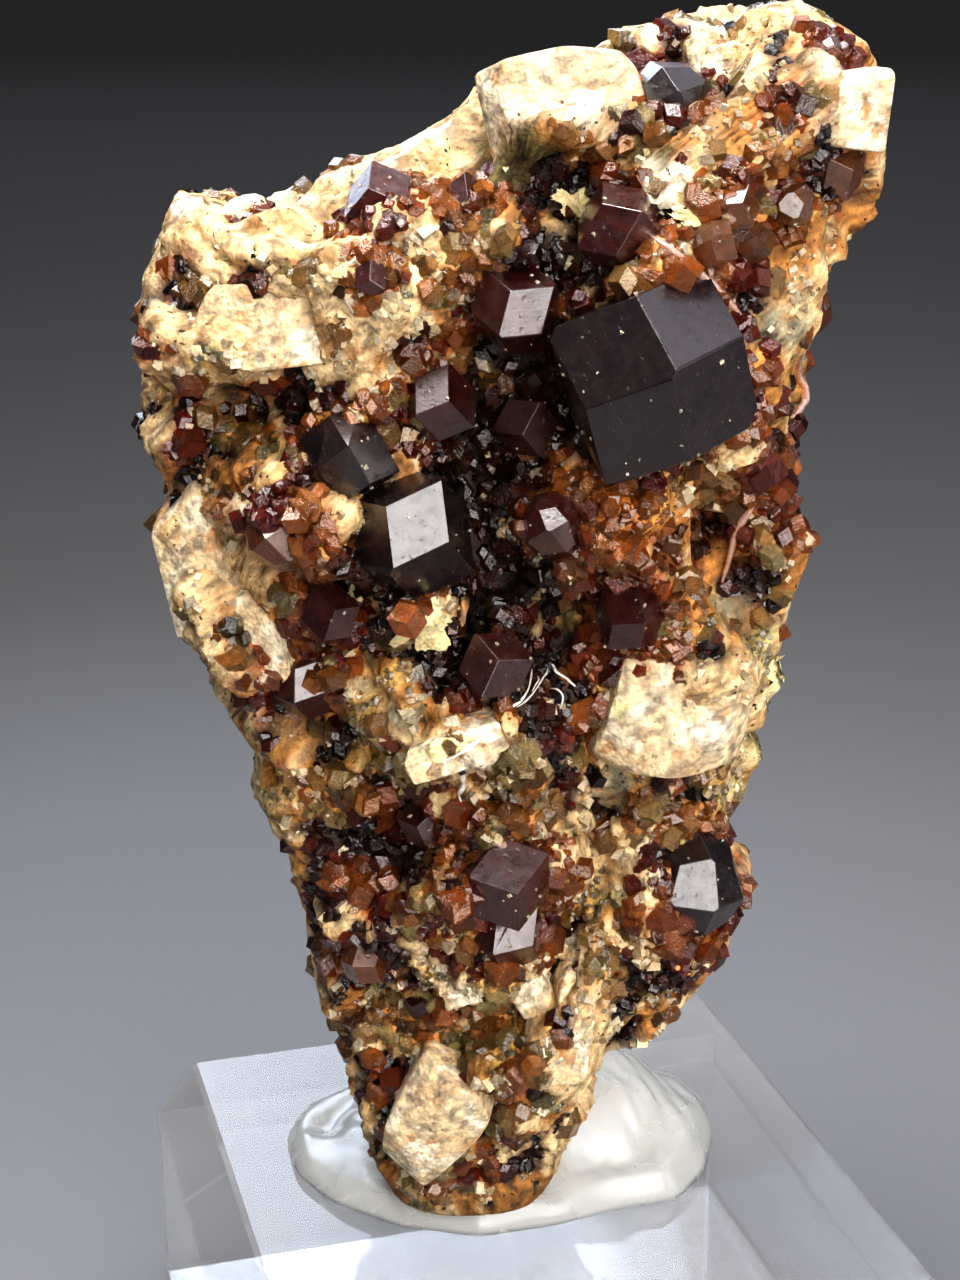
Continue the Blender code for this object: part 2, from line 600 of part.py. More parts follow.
# ---- mounting gel and block ----
# Rim of the gel on the block's top face, (x, y).
GEL_RIM = (
    (-16.9, 2.4), (-15.8, -2.2), (-13.2, -5.6), (-8.7, -8.4), (-3.5, -9.6), (1.7, -8.2), (5.4, -6.4),
    (9.4, -5.4), (11.6, -1.8), (12.6, 2.6), (12.4, 7.4), (9.0, 10.6), (2.0, 12.0), (-6.0, 11.4),
    (-12.0, 9.6), (-15.8, 6.4),
)
GEL_CENTRE = (-2.0, 2.0)
GEL_THICKNESS = 1.1
# Swellings of the gel: name, x, y, half width, half depth, tilt in degrees, height.
GEL_RELIEF = (
    ("climb round the foot", -4.0, -1.0, 8.0, 6.5, 6.0, 2.6),
    ("smeared mound", 5.2, 2.0, 6.6, 6.0, -14.0, 4.4),
    ("rear mound", 0.0, 6.6, 8.0, 4.0, 0.0, 1.6),
    ("front lip", -3.0, -8.2, 5.0, 0.9, 0.0, 0.35),
)
GEL_ROWS, GEL_COLUMNS = 10, 30
GEL_CROWDING = 1.3  # rows stand closer towards the rim
GEL_BELL, GEL_RIM_POWER = 1.2, 5
POCKET_GAPS = 1.3  # gap round the foot, in fit gaps
POCKET_REACH = 8.0  # blocks whose foot is within this of the block's top get a pocket, mm


def gel_surface(rows, columns):
    """Grid of the gel: up from the middle of its flat underside, round the rim, in over the top."""
    rim = np.array(GEL_RIM + GEL_RIM[:1]) - GEL_CENTRE
    share = even_steps(rim, columns, closed=True)
    places = np.linspace(0.0, 1.0, len(rim))
    rim = np.column_stack([np.interp(share, places, rim[:, axis]) for axis in (0, 1)])
    inward = 1.0 - np.linspace(0.0, 1.0, rows) ** GEL_CROWDING
    inward = np.concatenate([[0.0], inward])[:, None]
    flat = np.array(GEL_CENTRE) + inward[..., None] * rim[None]
    height = np.full(flat.shape[:2], GEL_THICKNESS)
    for _, x, y, half_width, half_depth, tilt, rise in GEL_RELIEF:
        turn = math.radians(tilt)
        across, along = flat[..., 0] - x, flat[..., 1] - y
        first = (across * math.cos(turn) + along * math.sin(turn)) / half_width
        second = (along * math.cos(turn) - across * math.sin(turn)) / half_depth
        height += rise * np.exp(-((first**2 + second**2) ** GEL_BELL))
    height *= np.sqrt(1.0 - inward**GEL_RIM_POWER)
    height[0] = 0.0
    return np.concatenate([flat, BLOCK_HEIGHT + FIT_GAP + height[..., None]], axis=-1)


def build_gel(slab):
    """The mound of gel, with a pocket open at the top for the foot of the matrix."""
    mesh = grid_mesh("mounting_gel", gel_surface(GEL_ROWS, GEL_COLUMNS))
    gel = add_object("mounting_gel", mesh, "gel")
    grown = slab + grid_normals(slab) * POCKET_GAPS * FIT_GAP
    pocket = [add_object("foot_pocket", grid_mesh("foot_pocket", grown))]
    for number, block in enumerate(BLOCKS):
        if block.z - block.height < BLOCK_HEIGHT + POCKET_REACH:
            normals, distances = block_planes(block)
            mesh = convex_solid("block_pocket", seat(slab, block), normals, distances + FIT_GAP)
            pocket.append(add_object(f"block_pocket_{number}", mesh))
    add_boolean(gel, "DIFFERENCE", pocket)
    return gel


def build_acrylic_block():
    """Clear square block with a wide bevel round its top and eased edges."""
    half, middle = BLOCK_SIDE / 2.0, BLOCK_HEIGHT / 2.0
    turn = np.array(Matrix.Rotation(math.radians(BLOCK_TURN), 3, "Z"))
    sides = np.array(((1, 0, 0), (-1, 0, 0), (0, 1, 0), (0, -1, 0)), float)
    slope = np.array((BLOCK_BEVEL_DROP, BLOCK_BEVEL_DROP, BLOCK_BEVEL_IN))
    bevels = (sides + (0.0, 0.0, 1.0)) * slope / math.hypot(BLOCK_BEVEL_DROP, BLOCK_BEVEL_IN)
    ends = np.array(((0, 0, 1), (0, 0, -1)), float)
    shoulder = np.array((half, 0.0, middle - BLOCK_BEVEL_DROP))
    distances = [half] * 4 + [float(bevels[0] @ shoulder)] * 4 + [middle] * 2
    normals = np.concatenate([sides, bevels, ends]) @ turn.T
    mesh = convex_solid("acrylic_block", (0, 0, middle), normals, distances)
    block = add_object("acrylic_block", mesh, "acrylic")
    eased = block.modifiers.new("Eased edges", "BEVEL")
    eased.width = EASED_EDGE * MM
    eased.segments = 1
    eased.limit_method = "ANGLE"
    eased.angle_limit = math.radians(20.0)
    return block


def main():
    """Build every piece in place."""
    for old in list(bpy.data.objects):
        bpy.data.objects.remove(old)
    slab = carved_slab(SLAB_ROWS, SLAB_COLUMNS)
    build_matrix(slab, build_garnets(slab))
    build_gel(slab)
    build_acrylic_block()


if __name__ == "__main__":
    main()
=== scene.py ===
"""Garnets in matrix: dark red garnets in a broken slab of pale rock, on a clear block.

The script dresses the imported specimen. The rock, its crust of small crystals, the pale blocks and
the mounting gel are surfaces worked out here and stand for their solids; the large garnets and
the acrylic block keep their solids and get finishes. Shapes are worked out in millimetres, in the
specimen's own frame: its show face looks along -Y, +Z is up and the block stands on z = 0.
"""

import json
import math

import bpy
import numpy as np
from bpy.props import FloatProperty, FloatVectorProperty, IntProperty, PointerProperty
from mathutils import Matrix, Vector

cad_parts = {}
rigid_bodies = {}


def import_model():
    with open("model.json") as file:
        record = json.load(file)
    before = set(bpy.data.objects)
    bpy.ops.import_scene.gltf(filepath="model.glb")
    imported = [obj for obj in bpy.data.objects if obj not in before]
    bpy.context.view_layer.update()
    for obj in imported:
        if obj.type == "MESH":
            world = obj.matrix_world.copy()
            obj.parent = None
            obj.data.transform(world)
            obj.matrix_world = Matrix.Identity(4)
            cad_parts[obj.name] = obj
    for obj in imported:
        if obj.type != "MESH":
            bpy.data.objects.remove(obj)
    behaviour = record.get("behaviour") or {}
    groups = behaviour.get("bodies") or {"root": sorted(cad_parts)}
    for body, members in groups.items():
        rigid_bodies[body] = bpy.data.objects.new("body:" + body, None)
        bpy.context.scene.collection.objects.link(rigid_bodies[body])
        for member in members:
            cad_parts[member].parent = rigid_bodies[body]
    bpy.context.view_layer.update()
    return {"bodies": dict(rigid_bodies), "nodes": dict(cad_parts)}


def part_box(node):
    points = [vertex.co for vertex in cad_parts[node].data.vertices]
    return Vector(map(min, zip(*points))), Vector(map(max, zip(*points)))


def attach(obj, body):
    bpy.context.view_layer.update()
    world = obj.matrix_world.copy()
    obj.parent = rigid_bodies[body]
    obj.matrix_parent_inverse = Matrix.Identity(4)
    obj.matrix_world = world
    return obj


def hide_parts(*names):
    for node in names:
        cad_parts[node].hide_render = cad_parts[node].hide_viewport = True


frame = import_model()
BODY = next(iter(frame["bodies"]))

bl_info = {
    "name": "Garnets in Matrix",
    "version": (1, 0, 0),
    "blender": (4, 5, 0),
    "location": "View3D > Sidebar > Garnets",
    "description": "Rock, crystals, gel and clear block of a mineral specimen, on a plain stage",
    "category": "Add Mesh",
}

MM = 0.001
TURN = 2.0 * math.pi

# ---- the bare slab, mm ----
SLAB_MID_Y = -3.4
# The slab's outline in its own plane, as (z, x) from the foot to the top.
LEFT_EDGE = (
    (19.9, -9.2), (23.1, -10.8), (29.1, -12.6), (33.9, -13.8), (38.4, -14.3), (44.8, -15.6),
    (48.8, -17.6), (51.5, -17.1), (54.1, -19.0), (58.0, -21.6), (61.8, -21.2), (63.7, -21.7),
    (66.2, -22.3), (68.1, -21.6), (71.1, -23.5), (76.5, -23.3), (80.0, -22.6), (84.4, -20.7),
)
RIGHT_EDGE = (
    (19.9, 0.8), (24.8, 2.6), (26.9, 4.0), (29.9, 5.4), (33.8, 9.4), (37.9, 12.2), (42.1, 13.6),
    (50.2, 13.7), (56.1, 14.3), (59.9, 14.8), (61.8, 14.7), (65.5, 15.5), (71.1, 15.5),
    (76.5, 16.4), (79.7, 17.7), (81.7, 19.4), (85.1, 19.4), (90.1, 19.1), (92.8, 18.0), (94.9, 14.4),
)
# How far the top edge rises over the straight line between its corners, along that line.
TOP_RISE = (
    (0.0, 0.0), (0.1, -1.4), (0.35, -1.3), (0.44, -0.6), (0.5, 1.0), (0.64, 1.5), (0.83, 1.2), (1.0, 0.0),
)
# Depth in front of and behind the slab's mid plane, from the foot (0) to the top (1).
FRONT_DEPTH = ((0.0, 6.2), (0.12, 7.1), (0.3, 9.5), (0.5, 11.5), (0.75, 12.0), (1.0, 10.5))
BACK_DEPTH = ((0.0, 4.0), (0.12, 6.0), (0.3, 9.0), (0.5, 11.0), (0.75, 11.5), (1.0, 10.0))
SECTION_POWER = 2.5
SECTION_WIDTH_SHARE = 1.8
FOOT_ROUNDING = 0.02
TOP_ROUNDING = 0.06
FRONT_CROWDING = 0.55  # how much closer the columns stand on the show face

# Swellings and hollows: x, z, half width, half height, tilt in degrees, how far each stands out.
FRONT_RELIEF = (
    (-1.2, 66.0, 6.0, 9.0, 10.0, -4.2),  # crystal hollow
    (1.5, 71.5, 3.4, 4.5, 0.0, -1.8),  # hollow under the largest garnet
    (-4.0, 77.5, 4.0, 3.0, 30.0, -1.6),  # hollow beside the third garnet
    (-17.0, 73.2, 8.5, 2.0, -4.0, -2.0),  # groove under the pale band
    (-14.5, 80.0, 9.5, 4.0, 8.0, 1.2),  # pale band
    (-19.4, 64.0, 3.4, 6.5, 14.0, 1.4),  # left shoulder
    (0.8, 85.0, 4.0, 3.0, 0.0, -1.8),  # brown hollow near the top
    (13.8, 66.0, 2.2, 6.0, 0.0, 1.6),  # right rib
    (10.8, 64.0, 1.5, 4.5, 12.0, -2.6),  # cleft inside the right rib
    (5.4, 67.6, 3.6, 3.0, 0.0, 1.2),  # red cluster swelling
    (-13.0, 55.0, 5.0, 1.6, -28.0, -1.4),  # waist groove
    (-4.6, 54.8, 4.2, 1.6, 24.0, 1.4),  # pale ledge
    (2.4, 52.5, 2.2, 2.6, 0.0, -1.8),  # dark pit under the ledge
    (-3.0, 44.5, 4.5, 4.5, 0.0, 1.0),  # lower swelling
    (4.6, 44.0, 1.6, 6.0, -10.0, -1.0),  # lower right cleft
    (-2.2, 25.6, 3.4, 1.0, 38.0, -1.0),  # foot groove
    (-19.6, 83.6, 1.8, 1.6, 0.0, 1.0),  # top left horn
)
BACK_RELIEF = (
    (-4.0, 72.0, 9.0, 10.0, 20.0, -2.2),  # broad break
    (9.0, 85.0, 6.0, 5.0, 0.0, 1.6),  # upper boss
    (-3.0, 48.0, 6.0, 7.0, -10.0, 1.4),  # lower boss
    (9.0, 58.0, 3.5, 9.0, 0.0, -1.4),  # side step
)
LUMPS = ((13.0, 0.8), (6.5, 0.4))  # wavelength and height
FACETS = ((9.0, 0.26), (4.6, 0.2))  # size and slope
RIM_CUT = 1.8
NOISE_SEED = 7
HASH_SPREAD = 43758.5453  # large, so that near keys give unlike values
HASH_STEPS = (0.0, 1.7, 3.9)

# ---- the eye that the stage looks from, mm ----
EYE = np.array((-3.5, -131.5, 99.0))
EYE_PITCH = 18.0
LENS = 61.875
SENSOR = 36.0
FRAME_WIDTH, FRAME_HEIGHT = 960, 1280
# Patches of the show face are laid out on this plane, seen from the eye.
SHOW_PLANE_Y = -13.6

# ---- finishes of the rock's surface ----
# Each oval is across, down, half width, half height in points of the frame, and its tilt.
FINISH_OVALS = {
    "white": (
        (190, 205, 28, 14, 0), (270, 205, 60, 12, -4), (340, 178, 50, 12, 20), (430, 140, 50, 12, 25),
        (510, 80, 45, 14, 35), (600, 45, 50, 12, 15), (720, 16, 60, 10, 5), (360, 240, 45, 14, -20),
        (445, 165, 30, 14, 10), (575, 95, 52, 38, 20), (718, 31, 30, 18, 5), (709, 69, 26, 14, -5),
        (826, 59, 22, 16, 0), (837, 113, 30, 24, 10), (669, 180, 22, 18, 0), (190, 540, 30, 46, -10),
        (245, 520, 22, 24, -30), (480, 760, 14, 18, 0), (459, 980, 16, 24, 10), (527, 992, 18, 30, -20),
        (480, 1000, 14, 10, 0), (575, 1010, 16, 60, 4), (440, 1115, 42, 36, 30),
    ),
    "cream": (
        (230, 235, 70, 30, 8), (340, 225, 60, 30, 10), (420, 180, 45, 30, 25), (754, 60, 26, 26, 0),
        (810, 30, 40, 16, -20), (840, 262, 22, 22, 0), (676, 236, 20, 10, -25), (760, 180, 16, 22, 0),
        (430, 225, 22, 30, 0), (200, 320, 46, 24, 0), (300, 320, 80, 26, 8), (400, 310, 26, 24, 10),
        (260, 355, 80, 22, 4), (330, 350, 40, 18, 5), (160, 410, 12, 30, 0), (364, 384, 26, 22, 0),
        (250, 570, 30, 46, -20), (205, 640, 26, 50, 20), (222, 700, 16, 50, 22), (252, 770, 14, 44, 24),
        (425, 628, 34, 22, 25), (744, 449, 14, 12, 0), (800, 300, 20, 30, 0), (640, 715, 44, 40, 0),
        (700, 715, 50, 40, 0), (740, 700, 22, 50, 0), (440, 748, 44, 14, 22), (462, 795, 8, 30, 0),
        (578, 855, 26, 30, 20), (530, 860, 18, 40, -20), (345, 925, 30, 8, -10), (405, 935, 16, 12, 0),
        (450, 960, 28, 12, 0), (360, 1052, 30, 8, -10), (600, 1010, 14, 50, 6), (565, 1080, 20, 30, 0),
        (520, 1140, 30, 12, 30), (555, 1150, 18, 26, -20), (620, 870, 30, 30, 0),
        (650, 930, 12, 50, -4), (600, 1055, 20, 20, 30),
    ),
    "tan": (
        (862, 120, 12, 60, 0), (750, 120, 32, 34, 0), (858, 220, 20, 30, 0), (800, 250, 36, 32, 0),
        (330, 430, 22, 14, 20), (240, 470, 30, 14, 30), (210, 560, 8, 50, 4), (262, 612, 18, 22, 0),
        (742, 510, 12, 40, -24), (715, 575, 12, 36, -24), (775, 378, 26, 22, 0), (805, 540, 12, 46, 0),
        (300, 770, 26, 14, -20), (400, 1180, 16, 18, 30), (488, 1145, 24, 12, 30),
        (520, 1190, 34, 20, 10), (722, 975, 26, 12, 35),
    ),
    "grey": (
        (776, 328, 30, 28, 0), (735, 608, 16, 20, 0), (388, 712, 28, 30, 0), (614, 794, 16, 34, -30),
    ),
    "yellow": (
        (216, 356, 26, 14, 0), (262, 782, 14, 18, 20), (800, 385, 5, 34, -10), (760, 648, 16, 28, 0),
        (748, 745, 18, 26, 20), (727, 790, 16, 16, 20), (690, 850, 30, 18, 0), (610, 890, 20, 26, 0),
        (610, 1035, 20, 14, 30),
    ),
    "olive": (
        (505, 160, 42, 38, 0), (640, 150, 40, 18, 0), (181, 517, 8, 14, 0),
    ),
    "honey": (
        (655, 498, 26, 28, -20), (600, 500, 14, 14, 0), (648, 640, 10, 10, 0), (354, 742, 12, 18, 0),
        (385, 690, 30, 12, 20), (459, 916, 12, 12, 0), (420, 975, 28, 20, 0), (500, 985, 16, 14, 0),
        (500, 1060, 20, 20, 0), (590, 900, 24, 18, 0),
    ),
    "druse": (
        (809, 156, 22, 20, 0), (626, 40, 18, 8, 0), (590, 150, 20, 12, 0), (700, 175, 14, 12, 0),
        (460, 275, 36, 36, 0), (500, 232, 26, 12, 0), (380, 400, 18, 16, 0), (232, 420, 20, 16, 0),
        (262, 440, 24, 18, 0), (220, 490, 30, 14, 10), (262, 583, 26, 20, 0), (240, 640, 26, 24, 0),
        (330, 705, 22, 14, 0), (330, 670, 16, 12, 0), (607, 522, 40, 44, 0), (607, 560, 30, 18, 0),
        (706, 490, 26, 20, 0), (700, 590, 26, 16, 20), (760, 545, 22, 26, 0), (690, 630, 24, 14, 0),
        (411, 768, 24, 12, 20), (335, 812, 24, 20, 0), (510, 765, 24, 20, 0), (536, 775, 22, 18, 0),
        (510, 810, 34, 18, 0), (670, 810, 40, 18, 0), (745, 838, 14, 14, 0), (420, 915, 26, 14, 0),
        (400, 1000, 34, 14, 0), (379, 1030, 60, 18, 0), (460, 1045, 34, 20, 0), (500, 1030, 26, 24, 0),
        (520, 1080, 22, 30, 0), (440, 1175, 22, 12, 30), (596, 931, 18, 14, 0), (604, 966, 16, 12, 0),
    ),
    "red": (
        (785, 108, 13, 26, 8), (784, 20, 16, 10, 0), (655, 60, 24, 16, 0), (725, 190, 34, 22, 0),
        (698, 219, 26, 18, 0), (740, 250, 34, 40, -30), (455, 195, 20, 30, 10), (478, 310, 20, 22, 0),
        (184, 262, 18, 12, 20), (150, 350, 10, 24, 0), (248, 266, 16, 20, 10), (186, 430, 26, 28, 0),
        (273, 440, 10, 12, 0), (285, 660, 26, 16, 0), (310, 610, 26, 22, 0), (275, 705, 22, 24, 0),
        (600, 640, 24, 34, 0), (552, 521, 20, 24, 0), (610, 575, 44, 24, 0), (765, 420, 14, 20, 0),
        (780, 475, 28, 30, 0), (778, 510, 22, 30, 0), (668, 600, 30, 24, 0), (670, 660, 34, 22, 0),
        (589, 730, 16, 20, 0), (380, 778, 18, 12, 0), (740, 810, 14, 26, 0), (400, 815, 26, 14, 0),
        (440, 830, 34, 14, 0), (345, 885, 22, 24, 0), (380, 900, 22, 14, 0), (470, 900, 30, 22, 0),
        (330, 960, 14, 30, -20), (420, 1030, 24, 8, 0), (380, 1075, 14, 20, 0), (515, 1095, 14, 12, 0),
        (470, 1180, 24, 14, 20), (626, 960, 14, 14, 0), (704, 912, 52, 50, 0),
    ),
    # The dark finish is near black: painted shade on the floors of the hollows, over their dark minerals.
    "dark": (
        (843, 171, 32, 24, 0), (780, 40, 10, 10, 0), (776, 62, 10, 18, 0), (816, 140, 8, 14, 0),
        (671, 98, 20, 12, 0), (664, 76, 34, 28, 0), (560, 185, 40, 26, -20), (600, 215, 36, 26, -30),
        (664, 208, 18, 12, 0), (540, 250, 50, 26, 0), (590, 262, 30, 30, 0), (172, 289, 18, 14, 0),
        (309, 296, 26, 6, 10), (320, 402, 34, 24, 0), (255, 402, 34, 9, 4), (176, 400, 22, 9, 0),
        (205, 455, 22, 22, 0), (176, 492, 14, 10, 0), (280, 700, 10, 20, 30), (400, 555, 20, 60, 10),
        (360, 570, 22, 30, 0), (470, 440, 46, 60, 0), (520, 340, 50, 50, 0), (560, 400, 40, 50, 0),
        (500, 600, 48, 60, 0), (470, 520, 22, 60, 0), (530, 470, 24, 30, 0), (430, 650, 50, 14, 5),
        (682, 546, 28, 18, 20), (737, 570, 10, 30, -10), (798, 432, 14, 18, 0), (770, 600, 14, 18, 0),
        (480, 655, 34, 18, 0), (540, 655, 30, 26, 0), (560, 700, 36, 34, 0), (490, 700, 40, 28, 0),
        (680, 728, 24, 8, 0), (550, 735, 34, 34, 0), (569, 782, 18, 30, 0), (323, 748, 30, 14, 10),
        (330, 845, 28, 22, 0), (520, 810, 10, 16, 0), (610, 815, 12, 14, 0), (680, 795, 40, 6, 6),
        (665, 845, 14, 10, 0), (375, 850, 50, 20, 0), (470, 850, 18, 12, 0), (320, 900, 24, 34, 0),
        (400, 870, 30, 18, 0), (380, 960, 30, 28, 0), (335, 995, 12, 14, 0), (404, 1068, 24, 14, 0),
        (378, 1128, 11, 34, -8), (560, 985, 8, 26, 0), (466, 1138, 40, 9, 38), (520, 1160, 14, 26, -30),
        (566, 1118, 8, 12, 0), (600, 890, 10, 14, 0), (635, 988, 24, 18, -20), (650, 985, 12, 24, 0),
        (690, 985, 34, 16, 30), (622, 1030, 18, 12, 30),
    ),
}

# Height of each finish over the bare rock, mm, and how likely it is where no patch lies.
FINISH_RELIEF = {
    "white": 0.40, "cream": 0.28, "tan": 0.10, "grey": 0.0, "yellow": 0.12, "olive": -0.15,
    "honey": 0.10, "druse": 0.0, "red": -0.15, "dark": -0.75,
}
FINISH_CHANCE = {
    "white": -0.20, "cream": 0.16, "tan": 0.18, "grey": 0.02, "yellow": -0.05, "olive": 0.04,
    "honey": 0.04, "druse": 0.17, "red": 0.05, "dark": 0.13,
}
RIM_CHANCE = {"white": 0.22, "cream": 0.26, "tan": 0.16, "druse": -0.06, "red": -0.1, "dark": -0.06}
KINDS = tuple(FINISH_CHANCE)


class Block:
    """A cleaved block of pale mineral: place, size across, up and deep, turn, how proud, side."""

    def __init__(self, x, z, width, height, depth, yaw, pitch, roll, proud, side=-1):
        self.x, self.z = x, z
        self.half = np.array((width, depth, height)) / 2.0
        self.turn = turn_about("Z", yaw) @ turn_about("X", -pitch) @ turn_about("Y", -roll)
        self.proud, self.side = proud, side


# x, z, width, height, depth, yaw, pitch, roll, proud, side
BLOCKS = (
    (-6.3, 28.9, 5.6, 8.4, 4.0, -6.0, -10.0, -28.0, -0.9),
    (7.6, 55.8, 9.6, 7.0, 4.0, 4.0, 4.0, -3.0, -0.9),
    (0.9, 90.0, 8.6, 5.0, 4.4, -6.0, 16.0, 14.0, -1.3),
    (9.2, 91.8, 3.2, 2.6, 2.8, 4.0, 14.0, 4.0, -0.7),
    (16.2, 89.8, 3.2, 4.4, 3.2, 20.0, 4.0, -8.0, -0.9),
    (-0.7, 38.4, 2.6, 4.4, 2.6, 8.0, 2.0, 20.0, -0.4),
    (-4.6, 38.2, 2.2, 3.0, 2.4, -12.0, 4.0, 24.0, -0.5),
    (-19.0, 64.6, 4.2, 9.0, 4.6, -26.0, 0.0, 14.0, -1.4),
    (-16.2, 60.6, 3.4, 6.4, 3.4, -20.0, -4.0, 24.0, -0.9),
    (-5.2, 55.0, 6.2, 2.4, 3.4, 6.0, 10.0, 24.0, -0.9),
    (6.4, 85.9, 3.0, 2.4, 2.4, 4.0, 10.0, -16.0, -0.4),
    (-15.0, 78.4, 9.0, 5.0, 4.0, -10.0, 8.0, 8.0, -1.2),
    (1.9, 35.6, 2.2, 8.0, 3.0, 8.0, 0.0, -6.0, -0.8),
    (-9.0, 82.0, 8.0, 6.0, 6.0, 10.0, 6.0, 16.0, -2.6, 1),
    (6.0, 70.0, 9.0, 10.0, 6.0, -6.0, -4.0, -12.0, -2.8, 1),
    (-6.0, 55.0, 8.0, 9.0, 5.0, -10.0, 6.0, 10.0, -2.5, 1),
    (3.0, 38.0, 6.0, 8.0, 4.4, 10.0, 0.0, -8.0, -2.6, 1),
)
BLOCK_BREAKS = 14


# ---- settings that a user would change ----
class RockSettings(bpy.types.PropertyGroup):
    """Sizes and colours of the rock and its pale blocks."""

    rows: IntProperty(name="Rows", description="Rows of the rock's surface", default=324, min=40)
    columns: IntProperty(name="Columns", description="Columns round the rock", default=300, min=40)
    white: FloatVectorProperty(
        name="White", description="Fresh cleavage faces", subtype="COLOR", default=(0.86, 0.75, 0.57)
    )
    cream: FloatVectorProperty(
        name="Cream", description="Pale weathered rock", subtype="COLOR", default=(0.78, 0.59, 0.34)
    )
    tan: FloatVectorProperty(
        name="Tan", description="Stained rock", subtype="COLOR", default=(0.50, 0.24, 0.07)
    )
    grey: FloatVectorProperty(
        name="Grey", description="Translucent grey-green rock", subtype="COLOR",
        default=(0.27, 0.25, 0.17)
    )
    yellow: FloatVectorProperty(
        name="Yellow", description="Yellow-green film", subtype="COLOR", default=(0.55, 0.48, 0.20)
    )
    olive: FloatVectorProperty(
        name="Olive", description="Olive stain", subtype="COLOR", default=(0.15, 0.12, 0.045)
    )
    honey: FloatVectorProperty(
        name="Honey", description="Honey-coloured grains", subtype="COLOR", default=(0.88, 0.56, 0.18)
    )
    druse: FloatVectorProperty(
        name="Druse", description="Bed of the orange-brown crust", subtype="COLOR",
        default=(0.60, 0.28, 0.08)
    )
    red: FloatVectorProperty(
        name="Red", description="Bed of the dark red crust", subtype="COLOR", default=(0.32, 0.045, 0.014)
    )
    # painted shade: near-black floor of the hollows
    dark: FloatVectorProperty(
        name="Dark", description="Floor of the hollows", subtype="COLOR", default=(0.02, 0.009, 0.005)
    )


class CrystalSettings(bpy.types.PropertyGroup):
    """Sizes and colours of the garnets and the crust of small crystals."""

    edge: FloatProperty(
        name="Edge width", description="Width of the worn edges of the large garnets",
        subtype="DISTANCE", default=0.09 * MM, min=0.01 * MM, max=0.5 * MM,
    )
    body: FloatVectorProperty(
        name="Black garnet", description="Body colour of the darkest garnets", subtype="COLOR",
        default=(0.040, 0.016, 0.020),
    )
    wine: FloatVectorProperty(
        name="Wine garnet", description="Body colour of the wine-red garnets", subtype="COLOR",
        default=(0.27, 0.05, 0.035),
    )
    amber: FloatVectorProperty(
        name="Amber garnet", description="Body colour of the orange-brown garnets", subtype="COLOR",
        default=(0.70, 0.25, 0.07),
    )


class StandSettings(bpy.types.PropertyGroup):
    """Colours of the gel and the clear block."""

    gel: FloatVectorProperty(
        name="Gel", description="Colour of the mounting gel", subtype="COLOR", default=(0.93, 0.93, 0.88)
    )
    clear: FloatVectorProperty(
        name="Acrylic", description="Tint of the clear block", subtype="COLOR", default=(0.95, 0.95, 0.94)
    )


class StageSettings(bpy.types.PropertyGroup):
    """Floor and lights."""

    floor: FloatVectorProperty(
        name="Floor", description="Colour of the floor", subtype="COLOR", default=(0.20, 0.20, 0.205)
    )
    key: FloatProperty(
        name="Key light", description="Power of the top light", subtype="POWER", default=0.56
    )
    front: FloatProperty(
        name="Front light", description="Power of the front light", subtype="POWER", default=0.58
    )
    low: FloatProperty(
        name="Low light", description="Power of the low front light", subtype="POWER", default=0.08
    )
    side: FloatProperty(
        name="Side light", description="Power of the low side light", subtype="POWER", default=0.05
    )
    wash: FloatProperty(
        name="Wash light", description="Power of the far back light", subtype="POWER", default=1.0
    )
    sky: FloatProperty(
        name="Sky light", description="Power of the cool high light", subtype="POWER", default=0.35
    )
    rim: FloatProperty(
        name="Rim light", description="Power of the rim light", subtype="POWER", default=0.09
    )


# ---- tables, steps and turns ----
def curve(table, t):
    """Straight-line reading of a table of (position, value) pairs."""
    places, values = np.array(table).T
    return np.interp(t, places, values)


def smooth_step(low, high, t):
    """0 below low, 1 above high, with an S curve 3s^2 - 2s^3 between."""
    s = np.clip((t - low) / (high - low), 0.0, 1.0)
    return s * s * (3.0 - 2.0 * s)


def travelled_share(points):
    """Length travelled along a polyline up to each of its points, as a share of the whole."""
    lengths = np.linalg.norm(np.diff(points, axis=0), axis=1)
    travelled = np.concatenate([[0.0], np.cumsum(lengths)])
    return travelled / travelled[-1]


def turn_about(axis, degrees):
    """Right-handed rotation matrix about one axis."""
    c, s = math.cos(math.radians(degrees)), math.sin(math.radians(degrees))
    return np.array(
        {
            "X": ((1, 0, 0), (0, c, -s), (0, s, c)),
            "Y": ((c, 0, s), (0, 1, 0), (-s, 0, c)),
            "Z": ((c, -s, 0), (s, c, 0), (0, 0, 1)),
        }[axis]
    )


def random_turns(random, count):
    """Evenly spread rotation matrices, from unit quaternions (w, x, y, z)."""
    w, x, y, z = np.moveaxis(unit(random.normal(size=(count, 4))), 1, 0)
    rows = (
        (1 - 2 * (y * y + z * z), 2 * (x * y - z * w), 2 * (x * z + y * w)),
        (2 * (x * y + z * w), 1 - 2 * (x * x + z * z), 2 * (y * z - x * w)),
        (2 * (x * z - y * w), 2 * (y * z + x * w), 1 - 2 * (x * x + y * y)),
    )
    return np.moveaxis(np.array(rows), 2, 0)


def unit(vectors):
    """Vectors at length 1."""
    return vectors / np.maximum(np.linalg.norm(vectors, axis=-1, keepdims=True), 1e-9)


# ---- noise ----
def wave_noise(points, wavelength, seed, count=28):
    """Smooth random field of unit spread: a sum of plane waves in seeded directions and phases."""
    random = np.random.default_rng(seed)
    directions = unit(random.normal(size=(count, 3)))
    turns = TURN / (wavelength * random.uniform(0.7, 1.5, count))
    phases = random.uniform(0.0, TURN, count)
    return np.cos(points @ (directions * turns[:, None]).T + phases).sum(axis=-1) * math.sqrt(2.0 / count)


